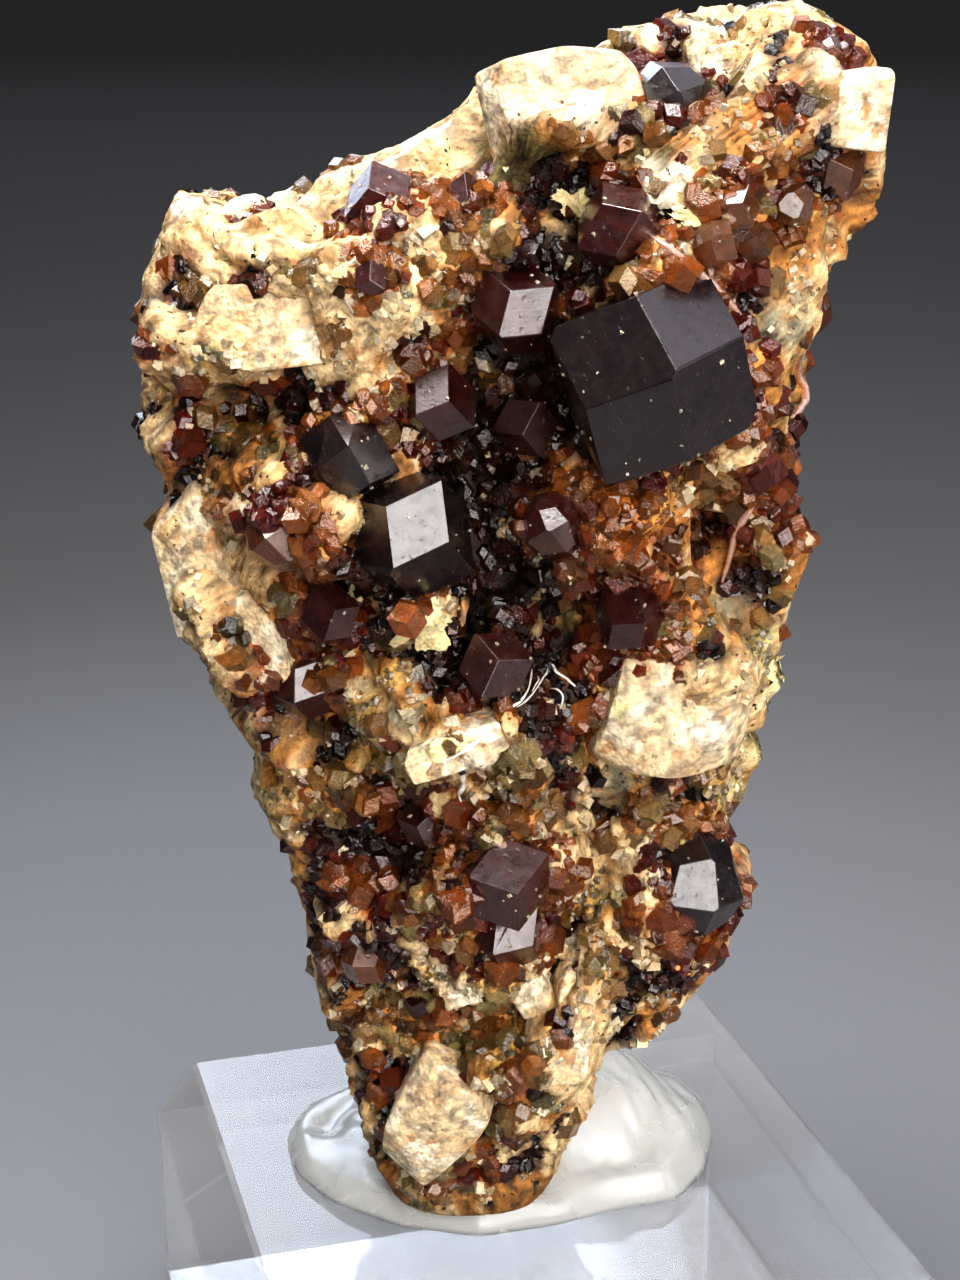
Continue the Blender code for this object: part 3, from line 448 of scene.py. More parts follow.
def facet_noise(points, size, seed):
    """Rock facets: the nearest seeded cell at each point, and the height of its own tilted plane."""
    random = np.random.default_rng(seed)
    low, high = np.array((-26.0, -19.0, 16.0)), np.array((22.0, 12.0, 98.0))
    count = int(np.prod((high - low) / size))
    cells = random.uniform(low, high, (count, 3))
    slopes = random.normal(size=(count, 3))
    flat = points.reshape(-1, 3)
    nearest = np.empty(len(flat), int)
    for start in range(0, len(flat), 4096):
        part = flat[start : start + 4096]
        apart = (part**2).sum(1)[:, None] - 2.0 * part @ cells.T + (cells**2).sum(1)[None]
        nearest[start : start + 4096] = apart.argmin(axis=1)
    height = ((flat - cells[nearest]) * slopes[nearest]).sum(axis=1)
    return height.reshape(points.shape[:-1])


def lattice_random(cells, seed):
    """Three repeatable random numbers for each whole-numbered cell, from a sine hash."""
    keys = cells @ np.array((127.1, 311.7, 74.7)) + 17.13 * seed
    waves = [np.abs(np.sin(keys + step) * HASH_SPREAD) for step in HASH_STEPS]
    return np.stack([np.modf(wave)[0] for wave in waves], axis=-1)


def cell_noise(points, size, seed):
    """Crystal cells: distance to the nearest jittered lattice point and to the next, and its own plane.

    Each lattice cell holds one point. The answer is (nearest, next, plane), where plane is the
    height of the nearest point's own tilted plane, all in units of size.
    """
    scaled = points / size
    base = np.floor(scaled)
    nearest = np.full(scaled.shape[:-1], 9.0)
    second = nearest.copy()
    plane = np.zeros_like(nearest)
    for step in np.ndindex(3, 3, 3):
        cell = base + np.array(step) - 1.0
        offset = scaled - cell - lattice_random(cell, seed)
        apart = np.linalg.norm(offset, axis=-1)
        slope = lattice_random(cell, seed + 5) * 2.0 - 1.0
        closer = apart < nearest
        second = np.where(closer, nearest, np.minimum(second, apart))
        plane = np.where(closer, (offset * slope).sum(axis=-1), plane)
        nearest = np.where(closer, apart, nearest)
    return nearest, second, plane


def rough_noise(points, size, seed, octaves=3):
    """Sum of wave noises, each half the size and 0.55 of the height of the one before."""
    total = np.zeros(points.shape[:-1])
    for octave in range(octaves):
        total += 0.55**octave * wave_noise(points, size / 2**octave, seed + 31 * octave)
    return total


# ---- the rock's surface ----
def section_parts(share):
    """Superellipse cos and sin parts at a share of the way round the slab's section."""
    power = 2.0 / SECTION_POWER

    def parts(turn):
        across, deep = np.cos(turn), np.sin(turn)
        return np.sign(across) * np.abs(across) ** power, np.sign(deep) * np.abs(deep) ** power

    angle = np.linspace(0.0, TURN, 2001)
    across, deep = parts(angle)
    travelled = travelled_share(np.column_stack([SECTION_WIDTH_SHARE * across, deep]))
    return parts(np.interp(share % 1.0, travelled, angle))


def rise_ladder(count):
    """Height share and thickness share of each row, rounded over at the foot and the top."""
    quarter = np.linspace(0.0, math.pi / 2.0, 200)
    foot = FOOT_ROUNDING * (1.0 - np.cos(quarter) ** 0.8)
    top = 1.0 - TOP_ROUNDING * (1.0 - np.sin(quarter) ** 0.8)
    heights = np.concatenate([foot, top])
    thickness = np.concatenate([np.sin(quarter) ** 0.8, np.cos(quarter) ** 0.8])
    travelled = travelled_share(np.column_stack([75.0 * heights, 11.0 * thickness]))
    share = np.linspace(0.0, 1.0, count)
    return np.interp(share, travelled, heights), np.interp(share, travelled, thickness)


def slab_surface(rows, columns):
    """Bare slab: superellipse sections between the two edges, as deep as the depth tables say.

    The columns stand evenly at the foot and the top, and closer on the show face between.
    """
    height, thickness = (part[:, None] for part in rise_ladder(rows))
    even = (np.arange(columns) / columns)[None, :]
    crowded = even - FRONT_CROWDING / TURN * np.cos(TURN * even)
    inside = smooth_step(0.0, 0.1, height) * smooth_step(0.0, 0.1, 1.0 - height)
    inside = inside * smooth_step(0.0, 1.0, thickness)
    across, deep = section_parts(even + (crowded - even) * inside)
    along = (1.0 + across) / 2.0
    left_z = LEFT_EDGE[0][0] + height * (LEFT_EDGE[-1][0] - LEFT_EDGE[0][0])
    right_z = RIGHT_EDGE[0][0] + height * (RIGHT_EDGE[-1][0] - RIGHT_EDGE[0][0])
    left_x, right_x = curve(LEFT_EDGE, left_z), curve(RIGHT_EDGE, right_z)
    x = left_x + (right_x - left_x) * along
    z = left_z + (right_z - left_z) * along + curve(TOP_RISE, along) * smooth_step(0.7, 1.0, height)
    depth = np.where(deep < 0.0, curve(FRONT_DEPTH, height), curve(BACK_DEPTH, height))
    return np.stack([x, SLAB_MID_Y + deep * depth * thickness, z], axis=-1)


def grid_normals(grid):
    """Outward unit normals of a grid whose columns close on themselves."""
    up = np.gradient(grid, axis=0)
    around = (np.roll(grid, -1, axis=1) - np.roll(grid, 1, axis=1)) / 2.0
    return unit(np.cross(around, up))


def tilted_bells(across, up, patches, sharpness):
    """Each patch's bell exp(-r^(2 sharpness)), r the distance in half sizes, in its own tilted axes."""
    for x, z, half_width, half_height, tilt, *rest in patches:
        c, s = math.cos(math.radians(tilt)), math.sin(math.radians(tilt))
        along = ((across - x) * c + (up - z) * s) / half_width
        over = ((up - z) * c - (across - x) * s) / half_height
        yield np.exp(-((along**2 + over**2) ** sharpness)), rest


def relief_height(points, features):
    """Sum of the swellings and hollows, each a bell times its height."""
    total = np.zeros(points.shape[:-1])
    for bell, (height,) in tilted_bells(points[..., 0], points[..., 2], features, 1.5):
        total += height * bell
    return total


def carved_slab(rows, columns):
    """The slab with its swellings, hollows, lumps and broken facets, pushed out along its normals."""
    bare = slab_surface(rows, columns)
    normals = grid_normals(bare)
    facing = -normals[..., 1]
    height = relief_height(bare, FRONT_RELIEF) * smooth_step(0.1, 0.6, facing)
    height += relief_height(bare, BACK_RELIEF) * smooth_step(0.1, 0.6, -facing)
    rough = np.zeros(height.shape)
    for step, (wavelength, size) in enumerate(LUMPS):
        rough += size * wave_noise(bare, wavelength, NOISE_SEED + step)
    for step, (size, slope) in enumerate(FACETS):
        rough += slope * facet_noise(bare, size, NOISE_SEED + 50 + step)
    rough = softened(rough, 6)
    # The rim is only cut into, so that it keeps its outline; the foot stays plain inside the gel.
    rim = np.clip(1.6 * rough - 0.2, -RIM_CUT, 0.0)
    rough = rim + (rough - rim) * smooth_step(0.5, 0.95, np.abs(facing))
    height += rough * smooth_step(22.0, 30.0, bare[..., 2])
    return bare + normals * height[..., None]


def on_show_plane(points):
    """x and z where the eye's line through each point meets the show plane."""
    reach = (SHOW_PLANE_Y - EYE[1]) / (points[..., 1] - EYE[1])
    return EYE[0] + (points[..., 0] - EYE[0]) * reach, EYE[2] + (points[..., 2] - EYE[2]) * reach


def frame_on_show_plane(across, down):
    """x and z where the eye's line through a point of the frame meets the show plane."""
    focal = LENS / SENSOR * FRAME_HEIGHT
    pitch = math.radians(EYE_PITCH)
    rise = (FRAME_HEIGHT / 2 - down) / focal
    reach = (SHOW_PLANE_Y - EYE[1]) / (math.cos(pitch) + rise * math.sin(pitch))
    x = EYE[0] + reach * (across - FRAME_WIDTH / 2) / focal
    return x, EYE[2] + reach * (rise * math.cos(pitch) - math.sin(pitch))


def frame_place(point):
    """A point of the frame as x and z on the show plane, to 0.1 mm."""
    return tuple(round(float(part), 1) for part in frame_on_show_plane(*point))


def finish_patch(across, down, half_width, half_height, tilt):
    """An oval of the frame as a patch of the show plane, to 0.1 mm: x, z, half sizes and tilt."""
    x, z = frame_on_show_plane(across, down)
    width = frame_on_show_plane(across + half_width, down)[0] - x
    height = frame_on_show_plane(across, down - half_height)[1] - z
    return *(round(float(size), 1) for size in (x, z, width, height)), tilt


def finish_scores(points, normals):
    """Score of each finish at each point; the highest wins.

    On the side that the eye sees, a finish scores the highest bell of its patches, on a plane
    whose coordinates are bent by noise so that no patch keeps its oval edge. Everywhere a finish
    also scores its own chance and its own noise.
    """
    across, up = on_show_plane(points)
    for size, amount, seed in ((2.6, 0.42, 3), (0.9, 0.2, 5)):
        across = across + amount * wave_noise(points, size, seed)
        up = up + amount * wave_noise(points, size, seed + 1)
    seen = smooth_step(0.0, 0.15, (unit(EYE - points) * normals).sum(axis=-1))
    rim = 1.0 - smooth_step(0.25, 0.65, np.abs(normals[..., 1]))
    fine = cell_noise(points, 0.8, 11)[2]
    scores = []
    for number, kind in enumerate(KINDS):
        best = np.zeros(across.shape)
        patches = [finish_patch(*oval) for oval in FINISH_OVALS[kind]]
        for bell, _ in tilted_bells(across, up, patches, 1.4):
            best = np.maximum(best, bell)
        chance = FINISH_CHANCE[kind] + 0.16 * wave_noise(points, 3.4, 40 + number)
        chance += 0.08 * wave_noise(points, 1.1, 60 + number) + 0.05 * fine * (-1) ** number
        scores.append(best * seen + chance + RIM_CHANCE.get(kind, 0.0) * rim)
    return np.stack(scores, axis=-1)


def softened(values, times):
    """Mean of each grid value with its four neighbours, repeated."""
    for _ in range(times):
        padded = np.concatenate([values[:1], values, values[-1:]], axis=0)
        sides = np.roll(values, 1, axis=1) + np.roll(values, -1, axis=1)
        values = (padded[:-2] + padded[2:] + sides + values) / 5.0
    return values


VIEW_LOW = np.array((-34.0, -2.0))
VIEW_STEP = 0.4
VIEW_CELLS = (172, 250)


def seen_table(points, normals):
    """Mean point and normal of the seen rock in each cell of a square table over the show plane."""
    towards = (unit(EYE - points) * normals).sum(axis=-1)
    shown = (towards > 0.1) & (points[..., 1] < SLAB_MID_Y)
    x, z = on_show_plane(points[shown])
    column = np.clip(np.round((x - VIEW_LOW[0]) / VIEW_STEP).astype(int), 0, VIEW_CELLS[0] - 1)
    row = np.clip(np.round((z - VIEW_LOW[1]) / VIEW_STEP).astype(int), 0, VIEW_CELLS[1] - 1)
    cell, size = column * VIEW_CELLS[1] + row, VIEW_CELLS[0] * VIEW_CELLS[1]
    values = np.column_stack([np.ones(len(cell)), points[shown], normals[shown]])
    table = np.stack([np.bincount(cell, part, size) for part in values.T], axis=-1)
    table = table.reshape(*VIEW_CELLS, 7)
    for _ in range(24):
        spread = table + sum(np.roll(table, step, axis) for step in (1, -1) for axis in (0, 1))
        table = np.where(table[..., :1] > 0.0, table, spread)
    return table[..., 1:] / np.maximum(table[..., :1], 1e-9)


class Rock:
    """The finished rock's grid: points, normals, and the share of each finish at each point."""

    def __init__(self, rows, columns):
        slab = carved_slab(rows, columns)
        normals = grid_normals(slab)
        winner = finish_scores(slab, normals).argmax(axis=-1)
        crisp = (winner[..., None] == np.arange(len(KINDS))).astype(float)
        self.shares = softened(crisp, 1)
        height = softened(crisp, 6) @ np.array([FINISH_RELIEF[kind] for kind in KINDS])
        pale = self.share("white", "cream", "tan", "grey", "yellow")
        crystalline = 1.0 - pale
        near, far, plane = cell_noise(slab, 0.85, 21)
        height += crystalline * (0.34 * (far - near) - 0.12 + 0.12 * plane)
        _, _, broad = cell_noise(slab, 2.1, 23)
        _, _, cleaved = cell_noise(slab, 1.0, 25)
        _, _, sugary = cell_noise(slab, 0.5, 27)
        height += pale * softened(0.34 * broad + 0.22 * cleaved + 0.12 * sugary, 1)
        height += 0.06 * rough_noise(slab, 0.8, 71, 2) + 0.10 * wave_noise(slab, 2.4, 75)
        foot = smooth_step(20.0, 24.0, slab[..., 2])
        height *= foot * (0.35 + 0.65 * smooth_step(0.1, 0.5, np.abs(normals[..., 1])))
        self.hollow = height - softened(height, 14)
        self.points = slab + normals * height[..., None]
        self.normals = normals
        self.height = height

        self.view = seen_table(self.points, self.normals)

    def share(self, *kinds):
        """Added shares of some finishes."""
        return self.shares[..., [KINDS.index(kind) for kind in kinds]].sum(axis=-1)

    def at(self, places):
        """Points and normals of the rock that the eye sees at (x, z) places on the show plane."""
        where = (places - VIEW_LOW) / VIEW_STEP
        low = np.clip(np.floor(where).astype(int), 0, np.array(self.view.shape[:2]) - 2)
        share = np.clip(where - low, 0.0, 1.0)[:, :, None]
        i, j = low[:, 0], low[:, 1]
        near = self.view[i, j] * (1.0 - share[:, 0]) + self.view[i + 1, j] * share[:, 0]
        far = self.view[i, j + 1] * (1.0 - share[:, 0]) + self.view[i + 1, j + 1] * share[:, 0]
        found = near * (1.0 - share[:, 1]) + far * share[:, 1]
        return found[:, :3], unit(found[:, 3:])


def nearest_depth(points, x, z, side):
    """Depth of the rock's face at (x, z), from the nearest points on that side."""
    flat = points.reshape(-1, 3)
    flat = flat[(flat[:, 1] - SLAB_MID_Y) * side > 0.0]
    near = np.argsort((flat[:, 0] - x) ** 2 + (flat[:, 2] - z) ** 2)[:4]
    return float(flat[near, 1].mean())


# ---- meshes ----
def fill_mesh(name, points, *faces):
    """Mesh of points in mm and arrays of faces, each array with its own number of corners."""
    mesh = bpy.data.meshes.new(name)
    mesh.vertices.add(len(points))
    mesh.vertices.foreach_set("co", (points * MM).ravel())
    corners = np.concatenate([part.ravel() for part in faces])
    sizes = np.concatenate([np.full(len(part), part.shape[1]) for part in faces])
    mesh.loops.add(len(corners))
    mesh.loops.foreach_set("vertex_index", corners)
    mesh.polygons.add(len(sizes))
    mesh.polygons.foreach_set("loop_start", np.cumsum(sizes) - sizes)
    mesh.update(calc_edges=True)
    return mesh


def put_attribute(mesh, name, values, domain="POINT"):
    """Store a number or a colour for each point or face under a name that a finish reads."""
    if values.ndim == 1:
        mesh.attributes.new(name, "FLOAT", domain).data.foreach_set("value", values)
    else:
        filled = np.concatenate([values, np.ones((len(values), 1))], axis=1)
        mesh.attributes.new(name, "FLOAT_COLOR", domain).data.foreach_set("color", filled.ravel())


def add_piece(name, mesh, material, slot, smooth, *replaced):
    """Object at the origin that rides on the specimen's one body."""
    mesh.materials.append(material)
    mesh.polygons.foreach_set("use_smooth", np.full(len(mesh.polygons), smooth))
    piece = bpy.data.objects.new(name, mesh)
    bpy.context.scene.collection.objects.link(piece)
    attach(piece, BODY)
    if replaced:
        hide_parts(*replaced)
    return piece


def wound_faces(rows, columns):
    """Quads of a grid whose columns close on themselves."""
    index = np.arange(rows * columns).reshape(rows, columns)
    after = np.roll(index, -1, axis=1)
    return np.stack([index[:-1], after[:-1], after[1:], index[1:]], axis=-1).reshape(-1, 4)


def pinched_grid(name, grid, values):
    """Closed mesh of a grid, each end row pressed onto its mirror, with its point values kept."""
    rows, columns = grid.shape[:2]
    mirror = -np.arange(columns) % columns
    grid = grid.copy()
    for end in (0, -1):
        grid[end] = (grid[end] + grid[end, mirror]) / 2.0
    same = np.arange(rows * columns).reshape(rows, columns)
    for end in (0, -1):
        same[end] = np.minimum(same[end], same[end, mirror])
    faces = same.ravel()[wound_faces(rows, columns)]
    kept, faces = np.unique(faces, return_inverse=True)
    mesh = fill_mesh(name, grid.reshape(-1, 3)[kept], faces.reshape(-1, 4))
    for label, value in values.items():
        put_attribute(mesh, label, value.reshape(rows * columns, -1)[kept].squeeze())
    return mesh


def ball_directions(rows, columns):
    """Unit directions of a ball's rings between its poles, and of the two poles."""
    polar = np.linspace(0.0, math.pi, rows + 2)[1:-1, None]
    round_angle = TURN * np.arange(columns)[None, :] / columns
    rings = np.stack(
        [
            np.sin(polar) * np.cos(round_angle),
            np.sin(polar) * np.sin(round_angle),
            -np.cos(polar) + 0.0 * round_angle,
        ],
        axis=-1,
    )
    return np.concatenate([rings.reshape(-1, 3), ((0.0, 0.0, -1.0), (0.0, 0.0, 1.0))])


def ball_faces(rows, columns):
    """Quads between a ball's rings and the two fans of triangles at its poles."""
    index = np.arange(rows * columns).reshape(rows, columns)
    low, high = np.full(columns, rows * columns), np.full(columns, rows * columns + 1)
    foot = np.stack([low, np.roll(index[0], -1), index[0]], axis=-1)
    top = np.stack([high, index[-1], np.roll(index[-1], -1)], axis=-1)
    return wound_faces(rows, columns), np.concatenate([foot, top])


def plane_bound(directions, normals, distances, softness):
    """How far a body bounded by planes reaches, and which way it faces there.

    The reach is the soft least of d / (n.u) over the planes; the facing is the same soft mean of n.
    """
    reach = np.maximum(directions @ normals.T, 1e-3) / distances
    total = (reach**softness).sum(axis=-1)
    return total ** (-1.0 / softness), unit((reach**softness) @ (normals / distances[:, None]))


def strand_mesh(name, rock, strands):
    """Strands laid on the rock: an ellipse carried along each path, tapered to nothing at both ends.

    Point(s, a) = path(s) + taper(s) (side(s) width cos a + out(s) (lift + height sin a)).
    """
    sides, steps = 8, 24
    angle = TURN * np.arange(sides) / sides
    points, quads, fans = [], [], []
    for number, (path, width, height, lift) in enumerate(strands):
        path = np.array([frame_place(point) for point in path])
        share = np.linspace(0.0, 1.0, steps)
        travelled = travelled_share(path)
        places = np.column_stack([np.interp(share, travelled, path[:, axis]) for axis in (0, 1)])
        for _ in range(3):
            places[1:-1] = (places[:-2] + 2.0 * places[1:-1] + places[2:]) / 4.0
        line, out = rock.at(places)
        for _ in range(4):
            line[1:-1] = (line[:-2] + 2.0 * line[1:-1] + line[2:]) / 4.0
            out[1:-1] = (out[:-2] + 2.0 * out[1:-1] + out[2:]) / 4.0
        out = unit(out)
        side = unit(np.cross(np.gradient(line, axis=0), out))
        taper = np.sin(math.pi * (0.06 + 0.88 * share)) ** 0.6
        wobble = 1.0 + 0.25 * wave_noise(line, 1.4, 600 + number)
        line = line + out * (lift * np.sin(math.pi * share))[:, None]
        ring = side[:, None] * (width * np.cos(angle))[None, :, None]
        ring = ring + out[:, None] * (height * np.sin(angle))[None, :, None]
        grid = line[:, None] + ring * (taper * wobble)[:, None, None]
        points.append(np.concatenate([grid.reshape(-1, 3), line[:1], line[-1:]]))
        quad, fan = ball_faces(steps, sides)
        start = number * (steps * sides + 2)
        quads.append(quad + start)
        fans.append(fan + start)
    return fill_mesh(name, np.concatenate(points), np.concatenate(quads), np.concatenate(fans))


def film_mesh(name, rock, films):
    """Thin torn films on the rock: a star outline r(a) shrunk through 0 to 1 on each face.

    Both faces follow the rock under them; the film is thickest in its middle.
    """
    rows, columns = 18, 72
    share = np.concatenate([np.linspace(0.06, 1.0, rows), np.linspace(0.97, 0.06, rows)])[:, None]
    angle = TURN * np.arange(columns)[None, :] / columns
    points, quads, fans = [], [], []
    for number, (x, z, width, height, tilt, spikes, seed) in enumerate(films):
        random = np.random.default_rng(seed)
        outline = np.ones(columns)
        for lobe in range(2, 9):
            outline += spikes / lobe**0.5 * np.cos(lobe * angle[0] + random.uniform(0.0, TURN))
        outline = outline.clip(0.25, 1.9) * (1.0 + random.uniform(-0.12, 0.12, columns))
        c, s = math.cos(math.radians(tilt)), math.sin(math.radians(tilt))
        across, up = share * outline * width * np.cos(angle), share * outline * height * np.sin(angle)
        places = np.stack([x + across * c - up * s, z + across * s + up * c], axis=-1)
        ground, out = rock.at(np.concatenate([places.reshape(-1, 2), ((x, z),)]))
        grid, middle = ground[:-1].reshape(*places.shape[:2], 3), ground[-1]
        out = out[-1]
        flat = middle[1] + 0.5 * softened(grid[..., 1:2] - middle[1], 3)
        grid = np.concatenate([grid[..., :1], flat, grid[..., 2:]], axis=-1)
        top = np.arange(2 * rows)[:, None] < rows
        half = 0.10 * np.sqrt(1.0 - 0.85 * share**2) * np.where(top, 1.0, -1.0)
        lift = 0.35 + 0.12 * wave_noise(grid, 1.2, seed + 3)
        grid = grid + out * (half + lift)[..., None]
        poles = middle + out * np.array(((0.45,), (0.25,)))
        points.append(np.concatenate([grid.reshape(-1, 3), poles]))
        quad, fan = ball_faces(2 * rows, columns)
        start = number * (2 * rows * columns + 2)
        quads.append(quad + start)
        fans.append(fan + start)
    return fill_mesh(name, np.concatenate(points), np.concatenate(quads), np.concatenate(fans))


# ---- crusts of small crystals ----
def dodecahedron():
    """Corners and quads of a rhombic dodecahedron whose sharp corners lie at distance 1."""
    signs = np.array([(a, b, c) for a in (-1, 1) for b in (-1, 1) for c in (-1, 1)], float)
    sharp = np.concatenate([np.eye(3), -np.eye(3)]) * 2.0
    corners = np.concatenate([signs, sharp]) / 2.0
    faces = []
    slopes = [(a, b, 0) for a in (-1, 1) for b in (-1, 1)]
    for normal in sorted({tuple(np.roll(slope, turn)) for slope in slopes for turn in range(3)}):
        ring = np.flatnonzero(corners @ normal > 0.99)
        spokes = corners[ring] - np.array(normal) / 2.0
        side = np.cross(normal, spokes[0])
        angle = np.arctan2(spokes @ side / math.sqrt(2.0), spokes @ spokes[0])
        faces.append(ring[np.argsort(angle)])
    return corners, np.array(faces)


def chip():
    """Corners and quads of a cube, for broken grains whose corners are moved at random."""
    corners = np.array([(a, b, c) for a in (-1, 1) for b in (-1, 1) for c in (-1, 1)], float) * 0.62
    faces = ((0, 1, 3, 2), (4, 6, 7, 5), (0, 4, 5, 1), (2, 3, 7, 6), (0, 2, 6, 4), (1, 5, 7, 3))
    return corners, np.array(faces)


def scattered(points, chance, spacing, random):
    """Indexes of seats: points drawn by chance, and one kept in each cube of the given spacing."""
    order = random.permutation(len(points))
    order = order[random.random(len(points)) < chance[order]]
    cells = np.floor(points[order] / spacing).astype(int)
    _, first = np.unique(cells, axis=0, return_index=True)
    return order[np.sort(first)]


def crust_mesh(name, form, seats, radii, stretch, wobble, tints, random):
    """Many copies of a small form in one mesh: centre + turn (stretch x corners) radius."""
    corners, faces = form
    count = len(seats)
    shapes = corners[None] * random.uniform(1.0 - stretch, 1.0 + stretch, (count, 1, 3))
    shapes = shapes + random.uniform(-wobble, wobble, (count, len(corners), 3))
    turned = np.einsum("nij,nvj->nvi", random_turns(random, count), shapes)
    points = seats[:, None] + turned * radii[:, None, None]
    copies = faces[None] + len(corners) * np.arange(count)[:, None, None]
    mesh = fill_mesh(name, points.reshape(-1, 3), copies.reshape(-1, 4))
    face_tints = np.repeat(tints, len(faces), axis=0)
    # painted light and shade: each face brighter or darker at random, as facets catch the light differently
    face_tints = face_tints * random.uniform(0.35, 1.05, (len(face_tints), 1))
    put_attribute(mesh, "tint", face_tints, "FACE")
    return mesh


# ---- finishes ----
class Wire:
    """A node's output; arithmetic on it adds Math nodes."""

    def __init__(self, tree, socket):
        self.tree, self.socket = tree, socket

    def math(self, operation, *values, clamped=False):
        """Math node of the given values, in order."""
        node = self.tree.nodes.new("ShaderNodeMath")
        node.operation = operation
        node.use_clamp = clamped
        for place, value in zip(node.inputs, values):
            plug(self.tree, value, place)
        return Wire(self.tree, node.outputs[0])

    def __add__(self, other):
        return self.math("ADD", self, other)

    def __radd__(self, other):
        return self.math("ADD", other, self)

    def __sub__(self, other):
        return self.math("SUBTRACT", self, other)

    def __rsub__(self, other):
        return self.math("SUBTRACT", other, self)

    def __mul__(self, other):
        return self.math("MULTIPLY", self, other)

    def __rmul__(self, other):
        return self.math("MULTIPLY", other, self)

    def __truediv__(self, other):
        return self.math("DIVIDE", self, other)

    def __rtruediv__(self, other):
        return self.math("DIVIDE", other, self)

    def step(self, low, high):
        """0 below low, 1 above high, straight between; high below low turns it round."""
        return self.math("MULTIPLY", self - low, 1.0 / (high - low), clamped=True)


def plug(tree, value, place):
    """Link a wire to an input, or set the input's own value."""
    if isinstance(value, Wire):
        tree.links.new(value.socket, place)
    else:
        opaque = place.type == "RGBA" and isinstance(value, (tuple, list)) and len(value) == 3
        place.default_value = (*value, 1.0) if opaque else value


class Finish:
    """A material in the making: one Principled shader with constant sockets, and added nodes."""

    def __init__(self, name, **constants):
        self.material = bpy.data.materials.new(name)
        self.material.use_nodes = True
        self.tree = self.material.node_tree
        self.shader = self.tree.nodes["Principled BSDF"]
        for label, value in constants.items():
            self.shader.inputs[label.replace("_", " ")].default_value = value

    def add(self, kind, settings=None, sockets=None, output=0):
        """New node: its kind, its settings, then its socket values or wires."""
        node = self.tree.nodes.new("ShaderNode" + kind)
        for label, value in (settings or {}).items():
            setattr(node, label, value)
        for label, value in (sockets or {}).items():
            plug(self.tree, value, node.inputs[label])
        return Wire(self.tree, node.outputs[output])

    def place(self, stretch=(1.0, 1.0, 1.0), shift=(0.0, 0.0, 0.0), turn=(0.0, 0.0, 0.0)):
        """Object coordinates, stretched, turned and shifted."""
        where = self.add("TexCoord", output="Object")
        node = self.tree.nodes.new("ShaderNodeMapping")
        self.tree.links.new(where.socket, node.inputs["Vector"])
        node.inputs["Scale"].default_value = stretch
        node.inputs["Location"].default_value = shift
        node.inputs["Rotation"].default_value = turn
        return Wire(self.tree, node.outputs[0])

    def grain(self, size, detail=3.0, roughness=0.6, **where):
        """Noise about size mm across."""
        sockets = {
            "Vector": self.place(**where), "Scale": 1.0 / (size * MM),
            "Detail": detail, "Roughness": roughness,
        }
        return self.add("TexNoise", sockets=sockets)

    def cells(self, size, output="Distance", **where):
        """Voronoi cells about size mm across: Distance, or Color for a random one in each cell."""
        sockets = {"Vector": self.place(**where), "Scale": 1.0 / (size * MM)}
        return self.add("TexVoronoi", sockets=sockets, output=output)

    def number(self, name):
        """A number stored on the mesh."""
        return self.add("Attribute", {"attribute_name": name}, output="Fac")

    def colour(self, name):
        """A colour stored on the mesh."""
        return self.add("Attribute", {"attribute_name": name}, output="Color")

    def blend(self, share, first, second, how="MIX"):
        """Colour between two colours."""
        node = self.tree.nodes.new("ShaderNodeMix")
        node.data_type = "RGBA"
        node.blend_type = how
        for place, value in zip((node.inputs[0], node.inputs[6], node.inputs[7]), (share, first, second)):
            plug(self.tree, value, place)
        return Wire(self.tree, node.outputs[2])

    def scaled(self, colour, amount):
        """Colour times a number."""
        node = self.tree.nodes.new("ShaderNodeVectorMath")
        node.operation = "SCALE"
        plug(self.tree, colour, node.inputs[0])
        plug(self.tree, amount, node.inputs["Scale"])
        return Wire(self.tree, node.outputs[0])

    def wire(self, **inputs):
        """Feed the shader's varying sockets."""
        for label, value in inputs.items():
            plug(self.tree, value, self.shader.inputs[label.replace("_", " ")])

    def bump(self, height, depth):
        """Bump of a height from 0 to 1, depth mm deep."""
        sockets = {"Height": height, "Distance": depth * MM, "Strength": 1.0}
        self.wire(Normal=self.add("Bump", sockets=sockets))


def rock_finish():
    """Granular pale rock: stored tints, fine grains, dark specks, and a sugary bump."""
    finish = Finish("weathered_rock", Subsurface_Weight=0.12, Subsurface_Scale=0.0012)
    finish.shader.inputs["Subsurface Radius"].default_value = (1.0, 0.6, 0.35)
    tint, speckle, gloss = finish.colour("tint"), finish.number("speckle"), finish.number("gloss")
    cloud = finish.grain(0.9, 5.0, 0.65)
    fine = finish.cells(0.22, "Color")
    shade = 0.45 + cloud * 0.75 + fine.math("MULTIPLY", fine, 0.35)
    base = finish.scaled(tint, shade)
    speck = finish.grain(0.42, 3.0, 0.6, shift=(0.3, 0.1, 0.7)).step(0.62, 0.69) * speckle
    base = finish.blend(speck, base, (0.03, 0.014, 0.008))
    stain = finish.grain(1.6, 4.0, 0.6, shift=(0.1, 0.9, 0.2)).step(0.53, 0.66) * speckle
    base = finish.blend(stain * 0.6, base, (0.34, 0.16, 0.045))
    finish.wire(Base_Color=base, Roughness=0.75 - gloss * 0.5)
    grit = finish.grain(0.16, 4.0, 0.7)
    finish.bump(grit * 0.5 + finish.cells(0.34) * 0.6 + cloud * 0.6, 0.16)
    return finish.material


def crust_finish(name, roughness, clearness):
    """Small glassy crystals: light passes through them, tinted face by face with painted light and shade."""
    finish = Finish(name, IOR=1.76, Transmission_Weight=clearness)
    tint = finish.colour("tint")
    cloud = finish.grain(0.6, 3.0, 0.6)
    finish.wire(Base_Color=finish.scaled(tint, 0.55 + cloud * 0.75), Roughness=roughness + cloud * 0.2)
    finish.bump(finish.grain(0.16, 3.0, 0.6) + finish.grain(0.5, 2.0, 0.5) * 1.2, 0.05)
    return finish.material


